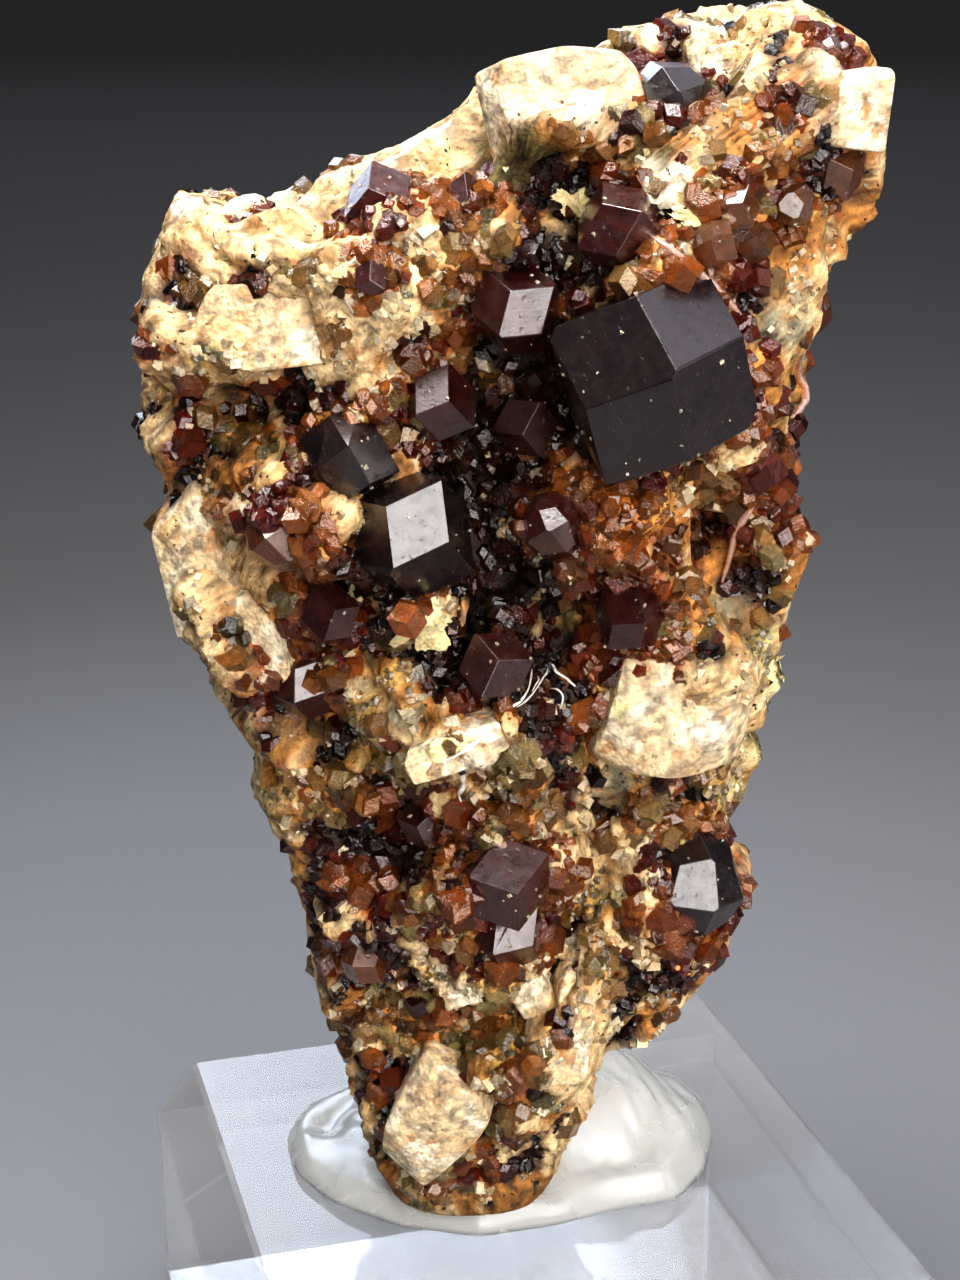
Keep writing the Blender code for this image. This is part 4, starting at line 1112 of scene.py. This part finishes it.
def garnet_finish(name, body, clearness, shift):
    """Large garnet: deep red glass over the rock it sits in, with growth steps, pits and dust."""
    finish = Finish(name, IOR=1.9, Coat_Weight=0.5, Coat_Roughness=0.08, Transmission_Weight=clearness)
    cloud = finish.grain(3.6, 3.0, 0.5, shift=shift)
    patch = finish.grain(0.7, 4.0, 0.65, shift=shift)
    veils = finish.grain(1.5, 5.0, 0.7, shift=shift).step(0.35, 0.75)
    base = finish.blend(veils, tuple(0.35 * part for part in body), tuple(body))
    dust = finish.grain(0.3, 4.0, 0.7, shift=shift).step(0.64, 0.70) * cloud.step(0.44, 0.60)
    base = finish.blend(dust * 0.7, base, (0.40, 0.30, 0.20))
    steps = finish.grain(0.5, 2.0, 0.5, stretch=(1.0, 1.0, 3.0), turn=(0.3, 0.5, 0.8), shift=shift)
    pits = finish.cells(0.6, shift=shift).step(0.30, 0.12) * patch.step(0.45, 0.6)
    finish.wire(Base_Color=base, Roughness=0.27 + patch.step(0.4, 0.75) * 0.2 + dust * 0.4)
    finish.bump(steps * 0.2 - pits * 0.5 + patch * 0.25 + dust * 0.8, 0.045)
    return finish.material


def gel_finish(colour):
    """Milky gel: light passes and is scattered inside; the skin is wet and smeared."""
    finish = Finish(
        "mounting_gel", Transmission_Weight=0.4, IOR=1.41, Subsurface_Weight=0.5, Subsurface_Scale=0.003,
        Coat_Weight=0.5, Coat_Roughness=0.05, Alpha=0.82,
    )
    finish.shader.inputs["Subsurface Radius"].default_value = (1.0, 0.95, 0.9)
    cloud = finish.grain(4.0, 3.0, 0.5)
    dull = tuple(0.86 * part for part in colour)
    finish.wire(Base_Color=finish.blend(cloud, dull, tuple(colour)), Roughness=0.15 + cloud * 0.25)
    smear = finish.grain(3.0, 2.0, 0.4, stretch=(1.0, 2.2, 1.0), turn=(0.0, 0.0, 0.9))
    finish.bump(smear, 0.06)
    return finish.material


def acrylic_finish(colour):
    """Clear polished acrylic with the faintest haze of handling marks."""
    finish = Finish("clear_acrylic", Transmission_Weight=0.88, IOR=1.49, Alpha=0.65)
    marks = finish.grain(6.0, 5.0, 0.7)
    marked = tuple(min(1.0, 1.02 * part) for part in colour)
    finish.wire(Base_Color=finish.blend(marks, tuple(colour), marked),
                Roughness=0.05 + marks.step(0.45, 0.8) * 0.12)
    return finish.material


def floor_finish(colour):
    """Plain mid-grey paper with an even tooth."""
    finish = Finish("studio_floor", Roughness=0.7)
    tooth = finish.grain(1.2, 3.0, 0.6)
    dim = tuple(0.97 * part for part in colour)
    finish.wire(Base_Color=finish.blend(tooth, dim, tuple(colour)))
    finish.bump(tooth, 0.02)
    return finish.material


# ---- operators ----
def made_rock(context):
    """The rock's grid, worked out once and shared by every piece that sits on it."""
    settings = context.scene.garnet_rock
    size = (settings.rows, settings.columns)
    if size not in ROCKS:
        ROCKS[size] = Rock(*size)
    return ROCKS[size]


ROCKS = {}
PALE = ("white", "cream", "tan", "grey", "yellow")


# Painted glow of orange crystals lit through, on the show plane: x, z, half width, half height, tilt.
PAINTED_GLOW_PATCHES = ((4.3, 67.6, 4.6, 3.4, -25.0), (-13.3, 67.0, 2.4, 2.4, 0.0))
PAINTED_GLOW_TINT = (1.0, 0.30, 0.03)


def with_painted_glow(tints, points, normals, shade):
    """Tints turned towards a painted orange glow inside the glow patches, on the side that the eye sees."""
    seen = (points[..., 1] < SLAB_MID_Y) & (normals[..., 1] < 0.0)
    for bell, _ in tilted_bells(*on_show_plane(points), PAINTED_GLOW_PATCHES, 1.6):
        share = (0.9 * bell * seen)[..., None]
        tints = tints * (1.0 - share) + np.array(PAINTED_GLOW_TINT) * shade * share
    return tints


def rock_tints(points, normals, shares, hollow, settings):
    """Colour of the rock: finish colours, ochre stains on the pale ones, painted shade in hollows, dark
    cracks and streaks.
    """
    palette = np.array([tuple(getattr(settings, kind)) for kind in KINDS])
    pale = shares[..., [KINDS.index(kind) for kind in PALE]].sum(axis=-1)[..., None]
    ochre = 0.4 * smooth_step(0.1, 1.5, rough_noise(points, 3.2, 811))[..., None] * pale
    near, far, _ = cell_noise(points, 1.3, 815)
    cracks = smooth_step(0.13, 0.03, far - near) * smooth_step(-0.1, 0.9, wave_noise(points, 2.2, 817))
    streaks = wave_noise(points @ turn_about("Y", 24.0) * (0.55, 1.0, 1.3), 1.0, 819)
    streaks = smooth_step(0.9, 1.4, streaks) * smooth_step(0.1, 1.0, wave_noise(points, 4.0, 821))
    # painted shade: darker in the hollows; the cracks and streaks are dark marks of the rock itself
    shade_and_dirt = [0.8 * smooth_step(-0.02, -0.24, hollow), 0.65 * cracks, 0.8 * streaks]
    shade_and_dirt = np.maximum.reduce(shade_and_dirt)[..., None]
    tints = shares @ palette
    tints = tints * (1.0 - ochre) + np.array(settings.tan) * ochre
    tints = tints * (1.0 - shade_and_dirt) + np.array((0.05, 0.022, 0.01)) * shade_and_dirt
    # painted glow: half of the orange glow blended into the rock's colour
    tints = 0.5 * tints + 0.5 * with_painted_glow(tints, points, normals, 0.55)
    foot_shade = 0.35 + 0.65 * smooth_step(19.0, 26.0, points[..., 2])
    shade = (1.0 + 0.22 * wave_noise(points, 0.9, 813)) * foot_shade
    return tints * shade[..., None].clip(0.2, 1.5)


class BuildRock(bpy.types.Operator):
    """Make the rock's broken surface with its stored tints"""

    bl_idname = "garnet.rock"
    bl_label = "Rock"

    def execute(self, context):
        rock, settings = made_rock(context), context.scene.garnet_rock
        tint = rock_tints(rock.points, rock.normals, rock.shares, rock.hollow, settings)
        mesh = pinched_grid(
            "rock",
            rock.points,
            {
                "tint": tint,
                "speckle": rock.share("white", "cream", "tan", "grey", "druse", "honey"),
                "gloss": rock.share("honey", "druse", "red", "dark", "white") * 0.9,
            },
        )
        add_piece("rock", mesh, rock_finish(), "matrix", True, "matrix")
        return {"FINISHED"}


class BuildBlocks(bpy.types.Operator):
    """Make the pale cleaved blocks that stand out of the rock"""

    bl_idname = "garnet.blocks"
    bl_label = "Pale Blocks"

    def execute(self, context):
        rock, settings = made_rock(context), context.scene.garnet_rock
        rows, columns = 60, 88
        ball = ball_directions(rows, columns)
        points, outward, rough, quads, fans = [], [], [], [], []
        for number, row in enumerate(BLOCKS):
            block = Block(*row)
            directions = unit(ball * block.half)
            random = np.random.default_rng(380 + number)
            breaks = unit(random.normal(size=(BLOCK_BREAKS, 3)))
            normals = np.concatenate([np.eye(3), -np.eye(3), breaks])
            reach = np.abs(normals) @ block.half
            reach[6:] *= random.uniform(0.62, 0.85, BLOCK_BREAKS)
            far, out = plane_bound(directions, normals, reach, 40.0)
            shape = directions * far[:, None]
            _, _, chips = cell_noise(shape, 1.3, 300 + number)
            _, _, grit = cell_noise(shape, 0.6, 330 + number)
            uneven = wave_noise(shape, 2.6, 360 + number)
            terrace = (shape @ breaks[0] / 1.3 + 0.3 * uneven) % 1.0
            shape += out * (0.30 * uneven + 0.24 * chips + 0.12 * grit + 0.24 * terrace - 0.4)[:, None]
            depth = nearest_depth(rock.points, block.x, block.z, block.side)
            centre = np.array((block.x, depth + block.side * (block.proud - 0.45), block.z))
            points.append(shape @ block.turn.T + centre)
            outward.append(out @ block.turn.T)
            rough.append(0.25 * chips + 0.2 * grit)
            quad, fan = ball_faces(rows, columns)
            quads.append(quad + number * len(ball))
            fans.append(fan + number * len(ball))
        points = np.concatenate(points)
        mesh = fill_mesh("pale_blocks", points, np.concatenate(quads), np.concatenate(fans))
        scores = finish_scores(points, np.concatenate(outward))
        scores[:, [KINDS.index(kind) for kind in ("honey", "druse", "red", "dark")]] -= 0.9
        scores[:, [KINDS.index(kind) for kind in ("grey", "olive", "tan")]] -= 0.25
        scores[:, KINDS.index("white")] += 0.3
        shares = (scores.argmax(axis=1)[:, None] == np.arange(len(KINDS))).astype(float)
        # painted shade in the chips: their depth is passed as the hollows that rock_tints darkens
        tints = rock_tints(points, np.concatenate(outward), shares, np.concatenate(rough), settings)
        put_attribute(mesh, "tint", 0.75 * tints + 0.25 * np.array(settings.white))
        put_attribute(mesh, "speckle", np.full(len(points), 0.45))
        put_attribute(mesh, "gloss", np.full(len(points), 0.5))
        add_piece("pale_blocks", mesh, bpy.data.materials["weathered_rock"], "matrix", False)
        return {"FINISHED"}


# Crusts: the finishes they grow on, seats a mm, smallest and largest radius, colours, seed.
CRUSTS = {
    "crust_red": (("red",), 1.3, (0.40, 1.35), ((0.95, 0.32, 0.07), (0.44, 0.06, 0.018)), 401),
    "crust_orange": (("druse",), 1.4, (0.34, 1.15), ((1.00, 0.78, 0.34), (0.84, 0.34, 0.07)), 402),
    "crust_dark": (("dark",), 1.5, (0.25, 0.85), ((0.34, 0.06, 0.02), (0.04, 0.012, 0.010)), 403),
    "crust_honey": (("honey", "yellow"), 2.1, (0.18, 0.42), ((1.00, 0.92, 0.70), (0.98, 0.72, 0.34)), 404),
}


class BuildCrusts(bpy.types.Operator):
    """Grow the crusts of small garnets over the red, orange, dark and honey finishes"""

    bl_idname = "garnet.crusts"
    bl_label = "Crystal Crusts"

    def execute(self, context):
        rock = made_rock(context)
        points, normals = rock.points.reshape(-1, 3), rock.normals.reshape(-1, 3)
        above = smooth_step(21.5, 23.0, points[:, 2])
        for name, (kinds, density, (small, large), colours, seed) in CRUSTS.items():
            random = np.random.default_rng(seed)
            chance = smooth_step(0.4, 0.9, rock.share(*kinds).ravel()) * above
            seats = []
            for spacing, wanted in ((1.0 / density, 0.8), (2.0 / density, 0.5)):
                seats.append(scattered(points, chance * wanted, spacing, random))
            sizes = np.concatenate([
                random.uniform(small, (small + large) / 2.0, len(seats[0])),
                random.uniform((small + large) / 2.0, large, len(seats[1])),
            ])
            seats = np.concatenate(seats)
            sunk = sizes * random.uniform(0.15, 0.75, len(sizes))
            middle = points[seats] - normals[seats] * sunk[:, None]
            mix = 0.5 + 0.45 * wave_noise(points[seats], 3.0, seed) + random.uniform(-0.3, 0.3, len(seats))
            mix = mix.clip(0.0, 1.0)[:, None]
            tints = np.array(colours[0]) * mix + np.array(colours[1]) * (1.0 - mix)
            # painted shade: crystals darker where they sit in the dark finish and in the rock's hollows
            tints *= (1.0 - 0.8 * rock.share("dark").ravel()[seats])[:, None] ** (name != "crust_dark")
            tints *= smooth_step(-0.45, 0.15, rock.hollow.ravel()[seats])[:, None]
            # painted glow on the crystals inside the glow patches
            tints = with_painted_glow(tints, points[seats], normals[seats], 0.5 + 0.5 * mix)
            mesh = crust_mesh(name, dodecahedron(), middle, sizes, 0.2, 0.0, tints, random)
            add_piece(name, mesh, crust_finish(name, 0.09, 0.72), "garnet", False)
        return {"FINISHED"}


class BuildCrumbs(bpy.types.Operator):
    """Scatter pale broken grains over the pale finishes"""

    bl_idname = "garnet.crumbs"
    bl_label = "Pale Crumbs"

    def execute(self, context):
        rock, settings = made_rock(context), context.scene.garnet_rock
        points, normals = rock.points.reshape(-1, 3), rock.normals.reshape(-1, 3)
        random = np.random.default_rng(421)
        above = smooth_step(21.5, 23.0, points[:, 2])
        patchy = smooth_step(-0.2, 0.9, wave_noise(points, 2.6, 422))
        chance = (0.3 * rock.share("cream", "tan", "yellow").ravel() + 0.11) * above * patchy
        chance *= smooth_step(0.55, 0.8, np.abs(normals[:, 1]))
        seats = scattered(points, chance, 0.45, random)
        sizes = random.uniform(0.12, 0.34, len(seats)) * random.choice((1.0, 1.0, 1.6), len(seats))
        middle = points[seats] - normals[seats] * (sizes * random.uniform(0.0, 0.4, len(sizes)))[:, None]
        mix = random.uniform(0.0, 1.0, (len(seats), 1))
        tints = np.array(settings.white) * mix + np.array(settings.cream) * (1.0 - mix)
        mesh = crust_mesh("pale_crumbs", chip(), middle, sizes, 0.35, 0.22, tints, random)
        put_attribute(mesh, "speckle", np.full(len(mesh.vertices), 0.4))
        put_attribute(mesh, "gloss", np.full(len(mesh.vertices), 0.4))
        add_piece("pale_crumbs", mesh, bpy.data.materials["weathered_rock"], "matrix", False)
        return {"FINISHED"}


# Strands: each path as (across, down) points of the frame, then half width, half height and
# lift, mm.
BLADES = (
    (((602, 210), (622, 214), (653, 241), (700, 276), (747, 322)), 0.24, 0.30, 0.35),
    (((604, 212), (625, 232), (650, 250)), 0.34, 0.22, 0.5),
    (((760, 476), (757, 497), (744, 518), (733, 550), (721, 586)), 0.22, 0.34, 0.3),
    (((811, 360), (806, 385), (796, 418)), 0.2, 0.3, 0.2),
    (((462, 830), (490, 836), (512, 846), (528, 860)), 0.2, 0.3, 0.2),
    (((778, 350), (777, 373)), 0.28, 0.3, 0.3),
)
FIBRES = (
    (((532, 668), (524, 685), (511, 703), (500, 722)), 0.08, 0.07, 0.8),
    (((548, 668), (540, 684), (528, 697), (508, 712)), 0.07, 0.06, 0.9),
    (((546, 660), (553, 678), (566, 687), (582, 689)), 0.08, 0.07, 0.7),
    (((538, 676), (531, 690), (520, 704)), 0.06, 0.06, 0.8),
    (((462, 760), (459, 785), (463, 806)), 0.16, 0.1, 0.4),
    (((488, 735), (470, 748), (440, 760), (405, 768)), 0.14, 0.1, 0.4),
    (((551, 686), (560, 698), (557, 712)), 0.06, 0.06, 0.6),
)
# Films: x, z, half width, half height, tilt, how spiky, seed.
FILMS = (
    (-6.8, 62.0, 1.7, 1.1, 28.0, 0.26, 621),
    (-10.4, 63.3, 0.5, 0.9, 10.0, 0.2, 622),
    (-5.2, 54.3, 2.0, 0.7, 22.0, 0.24, 623),
    (8.0, 84.0, 1.4, 0.5, -25.0, 0.24, 624),
    (1.6, 84.9, 1.2, 0.6, -10.0, 0.24, 625),
    (13.0, 58.5, 0.9, 1.2, 10.0, 0.22, 626),
)


class BuildStrands(bpy.types.Operator):
    """Lay the pink blades, the white fibres and the cream films on the rock"""

    bl_idname = "garnet.strands"
    bl_label = "Blades, Fibres and Films"

    def execute(self, context):
        rock = made_rock(context)
        blades = crust_finish("pink_blade", 0.15, 0.55)
        for name, mesh, colour, finish in (
            ("pink_blades", strand_mesh("pink_blades", rock, BLADES), (0.86, 0.50, 0.38), blades),
            ("white_fibres", strand_mesh("white_fibres", rock, FIBRES), (0.92, 0.86, 0.78), None),
            ("cream_films", film_mesh("cream_films", rock, FILMS), (0.90, 0.76, 0.42), None),
        ):
            count = len(mesh.vertices)
            put_attribute(mesh, "tint", np.full((count, 3), colour))
            put_attribute(mesh, "speckle", np.full(count, 0.5))
            put_attribute(mesh, "gloss", np.full(count, 0.6))
            finish = finish or bpy.data.materials["weathered_rock"]
            add_piece(name, mesh, finish, "matrix", True)
        return {"FINISHED"}


class DustGarnets(bpy.types.Operator):
    """Grow a collar of small crystals round each large garnet, and leave pale crumbs on its faces"""

    bl_idname = "garnet.collars"
    bl_label = "Collars and Dust"

    def execute(self, context):
        rock, settings = made_rock(context), context.scene.garnet_rock
        points, normals = rock.points.reshape(-1, 3), rock.normals.reshape(-1, 3)
        random = np.random.default_rng(441)
        chance = np.zeros(len(points))
        corners = []
        for name in sorted(frame["nodes"]):
            if not name.startswith("garnet"):
                continue
            low, high = np.array(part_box(name)) / MM
            reach = (high - low).max() / 2.0
            apart = np.linalg.norm(points - (low + high) / 2.0, axis=1)
            ring = smooth_step(0.7, 0.9, apart / reach) * smooth_step(reach + 1.1, reach + 0.2, apart)
            chance = np.maximum(chance, ring)
            mesh = bpy.data.objects[name].data
            places = np.empty(3 * len(mesh.vertices))
            mesh.vertices.foreach_get("co", places)
            index = np.empty(len(mesh.loops), int)
            mesh.loops.foreach_get("vertex_index", index)
            corners.append(places.reshape(-1, 3)[index].reshape(-1, 3, 3) / MM)
        chance *= smooth_step(26.0, 28.0, points[:, 2])
        seats = scattered(points, 0.75 * chance, 0.8, random)
        sizes = random.uniform(0.35, 0.85, len(seats))
        middle = points[seats] - normals[seats] * (sizes * random.uniform(0.0, 0.5, len(sizes)))[:, None]
        mix = (0.5 + 0.5 * wave_noise(points[seats], 5.0, 443)).clip(0.0, 1.0)[:, None]
        tints = np.array((0.95, 0.36, 0.08)) * mix + np.array((0.34, 0.035, 0.014)) * (1.0 - mix)
        # painted shade: collar crystals darker where they sit in the dark finish
        tints *= (1.0 - 0.85 * rock.share("dark").ravel()[seats])[:, None]
        mesh = crust_mesh("crust_collars", dodecahedron(), middle, sizes, 0.2, 0.0, tints, random)
        add_piece("crust_collars", mesh, bpy.data.materials["crust_red"], "garnet", False)

        corners = np.concatenate(corners)
        area = np.linalg.norm(np.cross(corners[:, 1] - corners[:, 0], corners[:, 2] - corners[:, 0]), axis=1)
        picked = random.choice(len(corners), 700, p=area / area.sum())
        shares = random.dirichlet((1.0, 1.0, 1.0), 700)
        spots = (corners[picked] * shares[..., None]).sum(axis=1)
        spots = spots[wave_noise(spots, 2.0, 445) > -0.2]
        sizes = random.uniform(0.05, 0.15, len(spots))
        tints = np.array(settings.white) * random.uniform(0.5, 1.0, (len(spots), 1))
        mesh = crust_mesh("garnet_dust", chip(), spots, sizes, 0.35, 0.22, tints, random)
        put_attribute(mesh, "speckle", np.zeros(len(mesh.vertices)))
        put_attribute(mesh, "gloss", np.full(len(mesh.vertices), 0.5))
        add_piece("garnet_dust", mesh, bpy.data.materials["weathered_rock"], "matrix", False)
        return {"FINISHED"}


BLACK_GARNETS = ("garnet_main", "garnets_left_pair", "garnet_top_dome", "garnet_right_foot")
AMBER_GARNETS = (
    "garnet_ring", "garnet_left_round", "garnets_upper_red", "garnet_top_right", "garnet_foot_left",
)


class FinishGarnets(bpy.types.Operator):
    """Give the large garnets worn edges and their glassy dark red finish"""

    bl_idname = "garnet.garnets"
    bl_label = "Large Garnets"

    def execute(self, context):
        settings = context.scene.garnet_crystals
        black = garnet_finish("garnet_black", settings.body, 0.5, (0.0, 0.0, 0.0))
        wine = garnet_finish("garnet_wine", settings.wine, 0.8, (0.013, 0.007, 0.0))
        amber = garnet_finish("garnet_amber", settings.amber, 0.8, (0.026, 0.014, 0.0))
        names = sorted(name for name in frame["nodes"] if name.startswith("garnet"))
        for name in names:
            crystal = bpy.data.objects[name]
            weld = crystal.modifiers.new("Weld", "WELD")
            weld.merge_threshold = 0.005 * MM
            edge = crystal.modifiers.new("Worn edges", "BEVEL")
            edge.width = settings.edge
            edge.segments = 2
            edge.limit_method = "ANGLE"
            edge.angle_limit = math.radians(12.0)
            for slot in crystal.material_slots:
                slot.material = black if name in BLACK_GARNETS else amber if name in AMBER_GARNETS else wine
        return {"FINISHED"}


class FinishStand(bpy.types.Operator):
    """Make the smeared gel and give the block its clear finish"""

    bl_idname = "garnet.stand"
    bl_label = "Gel and Block"

    def execute(self, context):
        settings = context.scene.garnet_stand
        grid = gel_surface(90, 360)
        mesh = pinched_grid("gel_mound", grid, {})
        add_piece("gel_mound", mesh, gel_finish(settings.gel), "gel", True, "mounting_gel")
        for slot in bpy.data.objects["acrylic_block"].material_slots:
            slot.material = acrylic_finish(settings.clear)
        return {"FINISHED"}


# ---- gel ----
# Rim of the gel on the block's top face, (x, y), mm.
GEL_RIM = (
    (-16.9, 2.4), (-15.8, -2.2), (-13.2, -5.6), (-8.7, -8.4), (-3.5, -9.6), (1.7, -8.2), (5.4, -6.4),
    (9.4, -5.4), (11.6, -1.8), (12.6, 2.6), (12.4, 7.4), (9.0, 10.6), (2.0, 12.0), (-6.0, 11.4),
    (-12.0, 9.6), (-15.8, 6.4),
)
GEL_CENTRE = (-2.0, 2.0)
GEL_THICKNESS = 1.1
GEL_FOOT = 19.3
# Swellings of the gel: x, y, half width, half depth, tilt in degrees, height.
GEL_RELIEF = (
    (-4.0, -1.0, 8.0, 6.5, 6.0, 2.6),  # climb round the foot
    (5.2, 2.0, 6.6, 6.0, -14.0, 4.4),  # smeared mound
    (0.0, 6.6, 8.0, 4.0, 0.0, 1.6),  # rear mound
    (-3.0, -8.2, 5.0, 0.9, 0.0, 0.35),  # front lip
)


def gel_surface(rows, columns):
    """Gel grid: from the middle of its flat underside out to the rim, and in over the top.

    The height over each point is a sum of bells, rounded down to nothing at the rim, with smears.
    """
    rim = np.array(GEL_RIM + GEL_RIM[:1]) - GEL_CENTRE
    share = np.arange(columns) / columns
    travelled = travelled_share(rim)
    rim = np.column_stack([np.interp(share, travelled, rim[:, axis]) for axis in (0, 1)])
    for _ in range(columns // 30):
        rim = (np.roll(rim, 1, axis=0) + rim + np.roll(rim, -1, axis=0)) / 3.0
    inward = 1.0 - np.linspace(0.0, 1.0, rows) ** 1.3
    inward = np.concatenate([[0.0], inward])[:, None]
    flat = np.array(GEL_CENTRE) + inward[..., None] * rim[None]
    height = np.full(flat.shape[:2], GEL_THICKNESS)
    for bell, (rise,) in tilted_bells(flat[..., 0], flat[..., 1], GEL_RELIEF, 1.2):
        height += rise * bell
    level = np.concatenate([flat, np.zeros_like(flat[..., :1])], axis=-1)
    smears = wave_noise(level @ turn_about("Z", 40.0) * (1.0, 0.35, 1.0), 1.1, 501)
    height += 0.05 * smears * smooth_step(1.4, 4.0, height)
    height += 0.10 * wave_noise(level, 3.2, 503)
    lip = 0.22 * np.exp(-(((inward - 0.93) / 0.035) ** 2)) - 0.5 * np.exp(-(((inward - 0.80) / 0.07) ** 2))
    height += lip * (1.0 + 0.5 * wave_noise(level, 7.0, 505))
    height *= np.sqrt(1.0 - np.clip(inward, 0.0, 1.0) ** 12)
    height[0] = 0.0
    return np.concatenate([flat, GEL_FOOT + np.maximum(height, 0.0)[..., None]], axis=-1)


FLOOR_RADIUS = 3400.0
FLOOR_DROP = 0.05
FLOOR_RISE = 900.0


class SetStage(bpy.types.Operator):
    """Lay the floor, hang the lights and set the camera"""

    bl_idname = "garnet.stage"
    bl_label = "Stage"

    def execute(self, context):
        settings, scene = context.scene.garnet_stage, context.scene
        rings, spokes = 60, 96
        reach = FLOOR_RADIUS * np.linspace(0.0, 1.0, rings + 1)[1:, None] ** 1.6
        angle = TURN * np.arange(spokes)[None, :] / spokes
        rise = FLOOR_RISE * smooth_step(0.5 * FLOOR_RADIUS, FLOOR_RADIUS, reach) ** 1.6 + 0.0 * angle
        points = np.stack([reach * np.cos(angle), reach * np.sin(angle), rise - FLOOR_DROP], axis=-1)
        points = points.reshape(-1, 3)
        spoke = np.arange(spokes)
        middle = np.stack([np.full(spokes, len(points)), spoke, np.roll(spoke, -1)], axis=-1)
        points = np.concatenate([points, ((0.0, 0.0, -FLOOR_DROP),)])
        faces = wound_faces(rings, spokes)[:, ::-1]
        mesh = fill_mesh("floor", points, faces, middle)
        mesh.materials.append(floor_finish(settings.floor))
        mesh.polygons.foreach_set("use_smooth", np.ones(len(mesh.polygons), bool))
        floor = bpy.data.objects.new("floor", mesh)
        scene.collection.objects.link(floor)

        lens = bpy.data.cameras.new("camera")
        lens.lens, lens.sensor_width, lens.sensor_fit = LENS, SENSOR, "AUTO"
        lens.clip_start, lens.clip_end = 0.01, 20.0
        camera = bpy.data.objects.new("camera", lens)
        camera.location = EYE * MM
        camera.rotation_euler = (math.radians(90.0 - EYE_PITCH), 0.0, 0.0)
        scene.collection.objects.link(camera)
        scene.camera = camera

        # Name, place, diameter, spread in degrees, power and colour of each lamp.
        lights = (
            ("key", (-40.0, -40.0, 290.0), 120.0, 180.0, settings.key, (1.0, 0.98, 0.95)),
            ("front", (100.0, -262.0, 178.0), 310.0, 130.0, settings.front, (1.0, 0.97, 0.95)),
            ("rim", (-65.0, 190.0, 175.0), 210.0, 80.0, settings.rim, (0.72, 0.82, 1.0)),
            ("wash", (0.0, 1100.0, 900.0), 700.0, 180.0, settings.wash, (0.98, 0.96, 1.0)),
            ("sky", (260.0, 130.0, 460.0), 400.0, 180.0, settings.sky, (0.86, 0.88, 1.0)),
            ("low", (40.0, -260.0, 62.0), 115.0, 180.0, settings.low, (1.0, 0.97, 0.94)),
            ("side", (220.0, -60.0, 62.0), 115.0, 180.0, settings.side, (1.0, 0.98, 0.95)),
        )
        for name, place, size, spread, power, colour in lights:
            lamp = bpy.data.lights.new(name, "AREA")
            lamp.shape, lamp.size = "DISK", size * MM
            lamp.energy, lamp.color, lamp.spread = power, colour, math.radians(spread)
            light = bpy.data.objects.new(name, lamp)
            aim = unit(np.array(place) - (0.0, 0.0, 60.0))
            light.location = np.array(place) * MM
            light.rotation_euler = (math.acos(aim[2]), 0.0, math.atan2(aim[0], -aim[1]))
            scene.collection.objects.link(light)

        world = bpy.data.worlds.new("studio")
        world.use_nodes = True
        world.node_tree.nodes["Background"].inputs["Color"].default_value = (0.97, 0.96, 1.0, 1.0)
        world.node_tree.nodes["Background"].inputs["Strength"].default_value = 0.14
        scene.world = world
        scene.view_settings.view_transform = "Standard"
        scene.view_settings.look = "High Contrast"
        return {"FINISHED"}


class GarnetPanel(bpy.types.Panel):
    """Sidebar panel that lists the specimen's operators and settings"""

    bl_label = "Garnets in Matrix"
    bl_idname = "VIEW3D_PT_garnets"
    bl_space_type = "VIEW_3D"
    bl_region_type = "UI"
    bl_category = "Garnets"

    def draw(self, context):
        for operator in OPERATORS:
            self.layout.operator(operator.bl_idname)
        for label, kind in SETTINGS.items():
            box = self.layout.box()
            for name in kind.__annotations__:
                box.prop(getattr(context.scene, label), name)


SETTINGS = {
    "garnet_rock": RockSettings,
    "garnet_crystals": CrystalSettings,
    "garnet_stand": StandSettings,
    "garnet_stage": StageSettings,
}
OPERATORS = (
    BuildRock, BuildBlocks, BuildCrusts, BuildCrumbs, BuildStrands, DustGarnets, FinishGarnets, FinishStand,
    SetStage,
)


def register():
    """Register the settings, operators and panel."""
    for kind in (*SETTINGS.values(), *OPERATORS, GarnetPanel):
        bpy.utils.register_class(kind)
    for label, kind in SETTINGS.items():
        setattr(bpy.types.Scene, label, PointerProperty(type=kind))


def unregister():
    """Remove what register added."""
    for label in SETTINGS:
        delattr(bpy.types.Scene, label)
    for kind in (GarnetPanel, *OPERATORS, *SETTINGS.values()):
        bpy.utils.unregister_class(kind)


def main():
    """Build every piece in order."""
    register()
    for operator in OPERATORS:
        group, name = operator.bl_idname.split(".")
        getattr(getattr(bpy.ops, group), name)()


if __name__ == "__main__":
    main()
